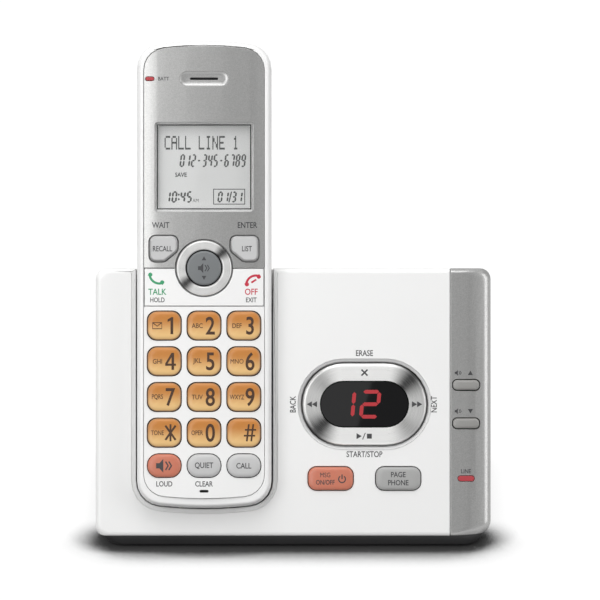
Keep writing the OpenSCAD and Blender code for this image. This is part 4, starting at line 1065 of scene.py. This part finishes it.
class PHONE_OT_call_controls(bpy.types.Operator):
    """Makes the soft keys, the round control in its spun ring, and the signs of the call bar"""

    bl_idname = "phone.call_controls"
    bl_label = "Call Controls"

    def execute(self, context):
        edge = context.scene.phone_sizes.small_edge
        for node, words, right in (("soft_key_left", "RECALL", -0.4), ("soft_key_right", "LIST", 0.9)):
            moulded_copy(node, "grey_key", edge * 2)
            mark = word(node + "_moulded", words, beside(node, right, 0), 1.9 * MM, 0.76)
            add_print(node + "_print", [mark], node, "dark_print")
        # The ring's brightness, fans and ends are painted light and painted reflections in its metal colour
        metal = spun_metal_with_reflections("nav_ring_metal", face_middle("nav_ring"), painted_brightness=0.9, straight=0.0,
                           fan_angle=math.radians(40), fan_width=0.42, second_fan=0.12, end_shade=0.1)
        moulded_copy("nav_ring", "brushed_metal", edge * 2, metal)
        moulded_copy("nav_disc", "grey_key", edge, finish("rocker_plastic"))
        disc = "nav_disc_moulded"
        signs = [sign(disc, arrow(1.7 * MM, "up"), beside("nav_disc", 0, 3.6)),
                 sign(disc, arrow(1.7 * MM, "down"), beside("nav_disc", 0, -3.6)),
                 sign(disc, speaker_sign(4.4 * MM), beside("nav_disc", 0, 0))]
        add_print("nav_disc_print", signs, "nav_disc", "dark_print")
        bar = "call_bar_moulded"
        start = [sign(bar, call_sign(5.2 * MM, True), beside("call_bar", -18.0, 2.7)),
                 word(bar, "TALK", beside("call_bar", -17.2, -1.6), 2.2 * MM)]
        add_print("talk_print", start, "call_bar", "green_print")
        stop = [sign(bar, call_sign(5.2 * MM, False), beside("call_bar", 17.6, 3.1)),
                word(bar, "OFF", beside("call_bar", 17.4, -1.6), 2.2 * MM)]
        add_print("hang_up_print", stop, "call_bar", "red_print")
        small = [word(bar, "HOLD", beside("call_bar", -17.2, -4.6), 1.7 * MM, 0.8),
                 word(bar, "EXIT", beside("call_bar", 17.4, -4.6), 1.7 * MM, 0.8)]
        add_print("call_bar_print", small, "call_bar", "dark_print")
        return {"FINISHED"}


def figures(text, width, height, bar, pitch, slant=0.12):
    """A row of segment figures round the origin."""
    outlines = []
    for i, figure in enumerate(text):
        x = (i - (len(text) - 1) / 2) * pitch
        outlines += shifted(seven_segment(figure, width, height, bar, slant), x, 0)
    return outlines


# Letters of dots, row by row from the top
DOT_LETTERS = {
    "A": ".###. #...# #...# ##### #...# #...# #...#",
    "C": ".#### #.... #.... #.... #.... #.... .####",
    "E": "##### #.... #.... ####. #.... #.... #####",
    "I": ".###. ..#.. ..#.. ..#.. ..#.. ..#.. .###.",
    "L": "#.... #.... #.... #.... #.... #.... #####",
    "N": "#...# ##..# ##..# #.#.# #..## #..## #...#",
    "1": "..#.. .##.. ..#.. ..#.. ..#.. ..#.. .###.",
    " ": ""}


def oblong(left, low, right, high):
    """Outline of an upright oblong."""
    return [(left, low), (right, low), (right, high), (left, high)]


def dot_letters(text, dot_width, dot_height):
    """A row of letters made of dots, round the origin."""
    outlines = []
    pitch = 6 * dot_width
    for i, letter in enumerate(text):
        for row, line in enumerate(DOT_LETTERS[letter].split()):
            for column, mark in enumerate(line):
                if mark == "#":
                    x = (i - (len(text) - 1) / 2) * pitch + (column - 2.5) * dot_width
                    y = (2.5 - row) * dot_height
                    outlines.append(oblong(x, y, x + dot_width, y + dot_height))
    return outlines


def frame_lines(width, height, line):
    """A thin upright frame round the origin."""
    x, y = width / 2, height / 2
    return [oblong(-x, y - line, x, y), oblong(-x, -y, x, line - y),
            oblong(-x, line - y, line - x, y - line), oblong(x - line, line - y, x, y - line)]


class PHONE_OT_display(bpy.types.Operator):
    """Makes the display window with its dark frame, and the figures on the liquid crystal panel"""

    bl_idname = "phone.display"
    bl_label = "Display"

    def execute(self, context):
        for node, slot in (("lcd_panel", "lcd_glass"), ("display_window", "clear_window")):
            moulded_copy(node, slot, context.scene.phone_sizes.small_edge)
        low, high = face_box("display_window")
        # A thin dark frame laid just inside the window's edge
        border = frame_lines(high.x - low.x - 1.2 * MM, high.y - low.y - 1.2 * MM, 0.45 * MM)
        marks = [sign("display_window_moulded", border, beside("display_window", 0, 0))]
        add_print("window_frame_print", marks, "handset", "lcd_print")
        lcd = "lcd_panel_moulded"

        def row(text, right, up, *sizes):
            # The sizes are a figure's width and height, its bar and the pitch, in millimetres
            outlines = figures(text, *[size * MM for size in sizes])
            return sign(lcd, outlines, beside("lcd_panel", right, up))

        marks = [sign(lcd, dot_letters("CALL LINE 1", 0.42 * MM, 0.72 * MM), beside("lcd_panel", -1.0, 9.0)),
                 row("012-345-6789", 3.2, 2.4, 1.75, 4.8, 0.62, 2.05),
                 word(lcd, "SAVE", beside("lcd_panel", -8.6, -2.8), 1.5 * MM, 0.9, 0.04),
                 row("10", -12.2, -11.0, 2.0, 4.3, 0.68, 2.4),
                 row("45", -6.7, -11.0, 2.0, 4.3, 0.68, 2.4),
                 word(lcd, ":", beside("lcd_panel", -9.4, -11.0), 3.4 * MM, bold=0.03),
                 word(lcd, "AM", beside("lcd_panel", -3.2, -12.3), 1.3 * MM),
                 sign(lcd, frame_lines(11.8 * MM, 5.8 * MM, 0.3 * MM), beside("lcd_panel", 9.2, -10.9)),
                 row("01", 7.0, -11.0, 1.8, 4.1, 0.62, 2.2),
                 row("31", 12.1, -11.0, 1.8, 4.1, 0.62, 2.2),
                 word(lcd, "/", beside("lcd_panel", 9.6, -11.0), 3.8 * MM)]
        add_print("display_figures", marks, "handset", "lcd_print")
        return {"FINISHED"}


def two_arrows(way, first, second):
    """Two arrows in a row, at their places in millimetres."""
    return [outline for x in (first, second) for outline in shifted(arrow(2.2 * MM, way), x * MM, 0)]


def play_stop_sign():
    """An arrow and a square with a slanting stroke between them."""
    line = stroke([(-0.7 * MM, -1.2 * MM), (0.3 * MM, 1.2 * MM)], 0.3 * MM)
    square = oblong(0.9 * MM, -0.9 * MM, 2.7 * MM, 0.9 * MM)
    return shifted(arrow(2.2 * MM, "right"), -2.0 * MM, 0) + line + [square]


class PHONE_OT_counter(bpy.types.Operator):
    """Makes the oval key ring of spun metal with its signs, the smoked lens and the lit counter"""

    bl_idname = "phone.counter"
    bl_label = "Message Counter"

    def execute(self, context):
        sizes = context.scene.phone_sizes
        low, high = face_box("oval_key_ring")
        # The ring's brightness, fans and ends are painted light and painted reflections in its metal colour
        metal = spun_metal_with_reflections("oval_ring_metal", face_middle("oval_key_ring"), painted_brightness=1.2,
                           straight=(high.x - low.x) - (high.y - low.y), fan_angle=math.radians(45),
                           fan_width=0.68, second_fan=0.55, end_shade=0.4)
        moulded_copy("oval_key_ring", "brushed_metal", sizes.small_edge, metal)
        ring = "oval_key_ring_moulded"
        marks = [sign(ring, cross_sign(2.8 * MM), beside("oval_key_ring", 0, 11.7)),
                 sign(ring, two_arrows("left", -1.0, 0.9), beside("oval_key_ring", -19.4, 0)),
                 sign(ring, two_arrows("right", -0.9, 1.0), beside("oval_key_ring", 19.4, 0)),
                 sign(ring, play_stop_sign(), beside("oval_key_ring", 0, -11.8))]
        add_print("oval_key_print", marks, "oval_key_ring", "dark_print")
        moulded_copy("display_lens", "smoked_lens", sizes.small_edge)
        tall = sizes.counter_digit
        lit = figures("12", tall * 0.7, tall, tall * 0.13, tall * 0.87, 0.09)
        digits = [sign("display_lens_moulded", lit, beside("display_lens", -2.5, 0))]
        add_print("counter_digits", digits, "base", "counter_glow")
        return {"FINISHED"}


class PHONE_OT_labels(bpy.types.Operator):
    """Prints the words and signs beside the controls of the base and the handset"""

    bl_idname = "phone.labels"
    bl_label = "Labels"

    def execute(self, context):
        tall = context.scene.phone_sizes.label
        housing, panel = "base_housing_moulded", "base_end_panel_moulded"
        upper, lower = "upper_faceplate_moulded", "lower_faceplate_moulded"
        marks = [word(housing, "ERASE", beside("oval_key_ring", 0, 18.9), tall, 0.78),
                 word(housing, "START/STOP", beside("oval_key_ring", 0, -18.5), tall, 0.78),
                 word(housing, "BACK", beside("oval_key_ring", -26.5, 0), tall, 0.78, turn=math.pi / 2),
                 word(housing, "NEXT", beside("oval_key_ring", 25.7, 0), tall, 0.78, turn=math.pi / 2)]
        add_print("housing_print", marks, "base", "dark_print")
        marks = []
        for node, way in (("volume_up_key", "up"), ("volume_down_key", "down")):
            marks.append(sign(panel, speaker_sign(2.6 * MM), beside(node, -2.9, 4.5)))
            marks.append(sign(panel, arrow(1.9 * MM, way), beside(node, 1.6, 4.5)))
        marks.append(word(panel, "LINE", beside("in_use_light", 0, 2.7), 1.5 * MM, 0.86))
        add_print("end_panel_print", marks, "base", "dark_print")
        marks = [word(upper, "WAIT", beside("soft_key_left", -1.1, 8.7), tall, 0.82),
                 word(upper, "ENTER", beside("soft_key_right", 1.1, 8.7), tall, 0.8),
                 word(upper, "BATT", beside("charge_light", 5.1, 0), 1.3 * MM, 0.9)]
        add_print("upper_plate_print", marks, "handset", "dark_print")
        marks = [word(lower, "LOUD", beside("speaker_key", 0, -6.7), 1.9 * MM, 0.8),
                 word(lower, "CLEAR", beside("mute_key", 0, -6.7), 1.9 * MM, 0.8)]
        add_print("lower_plate_print", marks, "handset", "dark_print")
        return {"FINISHED"}


def screw_places(node, count, turn):
    """Lowest middle of each screw of a node, in a turned frame."""
    points = [vertex.co for vertex in NODES[node].data.vertices]
    middle = sum(points, Vector()) / len(points)
    # The screws are told apart by the halves or quarters that they stand in
    groups = {}
    for point in points:
        quarter = (point.x > middle.x, count > 2 and point.y > middle.y)
        groups.setdefault(quarter, []).append(turn @ point)
    boxes = [corners(group) for group in groups.values()]
    return [((low.x + high.x) / 2, (low.y + high.y) / 2, low.z) for low, high in boxes]


class PHONE_OT_fasteners(bpy.types.Operator):
    """Makes the screws with cross recesses, and the rubber feet"""

    bl_idname = "phone.fasteners"
    bl_label = "Screws and Feet"

    def execute(self, context):
        tree = screw_tree()
        steel = finish("screw_steel")
        base_low, base_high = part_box("base_screws")
        case_low, case_high = face_box("handset_screws")
        # Number of screws, their frame, head radius, head height and shank radius in millimetres, and length
        kinds = {"base": (4, Matrix.Identity(3), 2.4, 1.0, 1.25, base_high[2] - base_low[2]),
                 "handset": (2, TO_FACE, 2.0, 1.4, 1.0, case_high.z - case_low.z)}
        for body, (count, turn, head_radius, head_height, shank_radius, length) in kinds.items():
            node, name = body + "_screws", body + "_screw_set"
            mesh = grown(tree, name, {
                "Head Radius": head_radius * MM, "Head Height": head_height * MM,
                "Shank Radius": shank_radius * MM, "Shank Length": length, "Recess": 3.2 * MM,
                "Finish": steel}, screw_places(node, count, turn))
            mesh.transform(turn.transposed().to_4x4())
            add_piece(name, mesh, body, steel, (node,))
        moulded_copy("base_feet", "foot_rubber", context.scene.phone_sizes.small_edge)
        return {"FINISHED"}


def wire_tree():
    """A row of thin contact wires, all tilted the same way."""
    tree, given = geometry_tree("Contact Wires", [
        ("Count", "NodeSocketInt"), ("Pitch", NUMBER), ("Radius", NUMBER), ("Length", NUMBER),
        ("Tilt", NUMBER), ("Finish", "NodeSocketMaterial")])
    steps = {"Count": given["Count"], "Offset": combined(tree, given["Pitch"])}
    row = put(tree, "GeometryNodeMeshLine", steps)
    size = {"Vertices": 10, "Radius": given["Radius"], "Depth": given["Length"]}
    wire = put(tree, "GeometryNodeMeshCylinder", size)
    lean = combined(tree, given["Tilt"])
    spots = {"Points": row.outputs[0], "Instance": wire.outputs["Mesh"], "Rotation": lean}
    placed = put(tree, "GeometryNodeInstanceOnPoints", spots)
    end_tree(tree, placed.outputs[0], given["Finish"])
    return tree


class PHONE_OT_sockets(bpy.types.Operator):
    """Makes the sockets at the back, the charging contacts and the lights"""

    bl_idname = "phone.sockets"
    bl_label = "Sockets, Contacts and Lights"

    def execute(self, context):
        edge = context.scene.phone_sizes.small_edge
        metal = finish("contact_metal")
        for node in ("power_jack", "line_jack"):
            moulded_copy(node, "charcoal_plastic", edge)
        low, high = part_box("line_jack")
        pitch, count = 1.27 * MM, 4
        mesh = grown(wire_tree(), "line_jack_wires", {
            "Count": count, "Pitch": pitch, "Radius": 0.2 * MM, "Length": 9.0 * MM,
            "Tilt": math.radians(-68), "Finish": metal})
        mesh.transform(Matrix.Translation(((low[0] + high[0] - (count - 1) * pitch) / 2, high[1] - 6.5 * MM,
                                           (low[2] + high[2]) / 2 - 1.2 * MM)))
        add_piece("line_jack_wires", mesh, "base", metal)
        moulded_copy("charge_plates", "contact_metal", edge)
        for node in ("charge_pin_left", "charge_pin_right"):
            moulded_copy(node, "contact_metal", edge / 2)
        for node in ("in_use_light", "charge_light"):
            moulded_copy(node, "red_light", edge)
        return {"FINISHED"}


class PHONE_OT_insides(bpy.types.Operator):
    """Gives the boards, mats, speakers and cells inside their finishes"""

    bl_idname = "phone.insides"
    bl_label = "Insides"

    def execute(self, context):
        finishes = {"circuit_board": ("base_board", "handset_board"),
                    "charcoal_plastic": ("base_speaker", "earpiece", "loudspeaker", "microphone"),
                    "led_module": ("led_display",),
                    "key_mat_rubber": ("base_key_mat", "key_mat", "oval_key_pad"),
                    "battery_wrap": ("battery_pack",)}
        for kind, nodes in finishes.items():
            for node in nodes:
                NODES[node].data.materials.clear()
                NODES[node].data.materials.append(finish(kind))
        return {"FINISHED"}


# Floor: reach of its contact shadow, which is painted from ambient occlusion, how open it is in shadow and in
# the clear, and how far behind the base's front edge the painted shadow grows paler, and by how much
SHADOW_REACH = 0.019
SHADOW_OPEN, CLEAR_OPEN = 0.62, 0.95
PALER_BACK = 0.025
PALER_SHARE = 0.75


def floor_material():
    """Pale floor with a painted shadow by the base, from ambient occlusion, that is seen as white farther
    away.
    """
    material, tree, shader = new_material("studio_floor")
    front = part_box("base_bottom")[0].y
    place = put(tree, "ShaderNodeTexCoord").outputs["Object"]
    # Painted shadow: the floor's white glow fades where ambient occlusion finds the base near, and less so
    # behind its front edge
    open_sky = put(tree, "ShaderNodeAmbientOcclusion", {"Distance": SHADOW_REACH}, samples=8).outputs["AO"]
    away = spread(tree, split(tree, place)[1], front, front + PALER_BACK, 0.0, PALER_SHARE)
    open_sky = calc(tree, "MULTIPLY_ADD", calc(tree, "SUBTRACT", 1.0, open_sky), away, open_sky)
    path = put(tree, "ShaderNodeLightPath").outputs
    seen = calc(tree, "MAXIMUM", path["Is Camera Ray"], path["Is Glossy Ray"])
    seen = calc(tree, "MAXIMUM", seen, path["Is Transmission Ray"])
    feed(tree, shader, {
        "Base Color": blend(tree, noise(tree, place, 60.0), (0.06, 0.06, 0.06, 1), (0.07, 0.07, 0.07, 1)),
        "Emission Strength": calc(tree, "MULTIPLY", spread(tree, open_sky, SHADOW_OPEN, CLEAR_OPEN), seen),
        "Emission Color": (0.97, 0.97, 0.97, 1), "Roughness": 0.9, "Specular IOR Level": 0.1})
    return material


# The room's bright parts end at slanted planes, given by their slopes to the side of straight ahead
ROOM_SLANT = -0.253
LEFT_END = -0.0244
STRIP_START, STRIP_END = -0.004, 0.017
FAR_START = 0.22


def pale_room(stage):
    """A room whose bright parts show as a glare across flat glass."""
    world = bpy.data.worlds.new("pale_room")
    world.use_nodes = True
    tree = world.node_tree
    way = put(tree, "ShaderNodeTexCoord").outputs["Generated"]
    ahead = calc(tree, "MAXIMUM", along(tree, way, (0, 0, 1)), 0.01)
    side = calc(tree, "DIVIDE", along(tree, way, (1.0, ROOM_SLANT, 0.0)), ahead)
    left_half = calc(tree, "LESS_THAN", side, LEFT_END)
    past_start = calc(tree, "GREATER_THAN", side, STRIP_START)
    strip = calc(tree, "MULTIPLY", past_start, calc(tree, "LESS_THAN", side, STRIP_END))
    bright = calc(tree, "MAXIMUM", left_half, strip)
    level = calc(tree, "MULTIPLY_ADD", bright, stage.room_left - stage.room_right, stage.room_right)
    far_right = calc(tree, "MULTIPLY", calc(tree, "GREATER_THAN", side, FAR_START), stage.room_far)
    light = {"Strength": calc(tree, "MAXIMUM", level, far_right), "Color": (1, 1, 1, 1)}
    feed(tree, tree.nodes["Background"], light)
    return world


# Point that the lamps face
LAMP_AIM = Vector((0, 0, 0.08))


def area_lamp(name, place, width, height, power):
    """A soft oblong lamp that faces the telephone."""
    light = bpy.data.lights.new(name, "AREA")
    light.shape = "RECTANGLE"
    light.size, light.size_y = width, height
    light.energy = power
    lamp = bpy.data.objects.new(name, light)
    bpy.context.scene.collection.objects.link(lamp)
    lamp.location = place
    lamp.visible_camera = False
    lamp.rotation_euler = (LAMP_AIM - Vector(place)).to_track_quat("-Z", "Y").to_euler()


# Half the floor's width, the picture's middle, right of the handset's middle and above its lower edge,
# and the camera's sensor in millimetres
FLOOR_HALF = 6
PICTURE_RIGHT = 35.35 * MM
PICTURE_UP = 76.8 * MM
SENSOR_WIDTH = 36


class PHONE_OT_stage(bpy.types.Operator):
    """Sets up the floor, the pale room, the lamps and the camera square to the leaning face"""

    bl_idname = "phone.stage"
    bl_label = "Stage"

    def execute(self, context):
        scene = context.scene
        stage = scene.phone_stage
        mesh = bpy.data.meshes.new("floor")
        outline = oblong(-FLOOR_HALF, -FLOOR_HALF, FLOOR_HALF, FLOOR_HALF)
        mesh.from_pydata([(x, y, 0) for x, y in outline], [], [(0, 1, 2, 3)])
        mesh.materials.append(floor_material())
        floor = bpy.data.objects.new("floor", mesh)
        scene.collection.objects.link(floor)
        scene.world = pale_room(stage)
        overhead = bpy.data.lights.new("overhead", "SUN")
        overhead.energy = stage.overhead
        overhead.angle = math.radians(80)
        scene.collection.objects.link(bpy.data.objects.new("overhead", overhead))
        area_lamp("top_lamp", (-0.05, -0.12, 0.55), 0.4, 0.25, stage.top_lamp)
        area_lamp("left_lamp", (-0.50, -0.70, 0.46), 0.55, 0.8, stage.left_lamp)
        area_lamp("right_lamp", (1.0, -0.5, 0.5), 0.35, 0.9, stage.right_lamp)
        low, high = face_box("handset_front_case")
        front = face_box("base_housing")[1].z
        aim = Vector(((low.x + high.x) / 2 + PICTURE_RIGHT, low.y + PICTURE_UP, front))
        camera = bpy.data.objects.new("camera", bpy.data.cameras.new("camera"))
        scene.collection.objects.link(camera)
        camera.data.sensor_width = SENSOR_WIDTH
        camera.data.lens = SENSOR_WIDTH * stage.distance / stage.picture_width
        camera.data.clip_end = 50
        eye = FACE @ (aim + Vector((0, 0, stage.distance)))
        camera.matrix_world = Matrix.Translation(eye) @ FACE.to_4x4()
        scene.camera = camera
        scene.view_settings.view_transform = "Standard"
        return {"FINISHED"}


class PHONE_PT_panel(bpy.types.Panel):
    """Lists the telephone's pieces, sizes and colours"""

    bl_idname = "PHONE_PT_panel"
    bl_label = "Cordless Telephone"
    bl_space_type = "VIEW_3D"
    bl_region_type = "UI"
    bl_category = "Telephone"

    def draw(self, context):
        for maker in OPERATORS:
            self.layout.operator(maker.bl_idname)
        for group in (context.scene.phone_sizes, context.scene.phone_colours, context.scene.phone_stage):
            box = self.layout.box()
            for name in group.__annotations__:
                box.prop(group, name)


OPERATORS = (PHONE_OT_shells, PHONE_OT_keypad, PHONE_OT_base_keys, PHONE_OT_call_controls, PHONE_OT_display,
             PHONE_OT_counter, PHONE_OT_labels, PHONE_OT_fasteners, PHONE_OT_sockets, PHONE_OT_insides,
             PHONE_OT_stage)
GROUPS = {"phone_sizes": PhoneSizes, "phone_colours": PhoneColours, "phone_stage": PhoneStage}


def register():
    """Registers the groups, the operators and the panel."""
    for name, group in GROUPS.items():
        bpy.utils.register_class(group)
        setattr(bpy.types.Scene, name, PointerProperty(type=group))
    for item in OPERATORS + (PHONE_PT_panel,):
        bpy.utils.register_class(item)


def unregister():
    """Takes the classes away again, in the opposite order."""
    for item in reversed(OPERATORS + (PHONE_PT_panel,)):
        bpy.utils.unregister_class(item)
    for name, group in GROUPS.items():
        delattr(bpy.types.Scene, name)
        bpy.utils.unregister_class(group)


def main():
    """Makes every piece in order."""
    register()
    for maker in OPERATORS:
        family, action = maker.bl_idname.split(".")
        getattr(getattr(bpy.ops, family), action)()


if __name__ == "__main__":
    main()
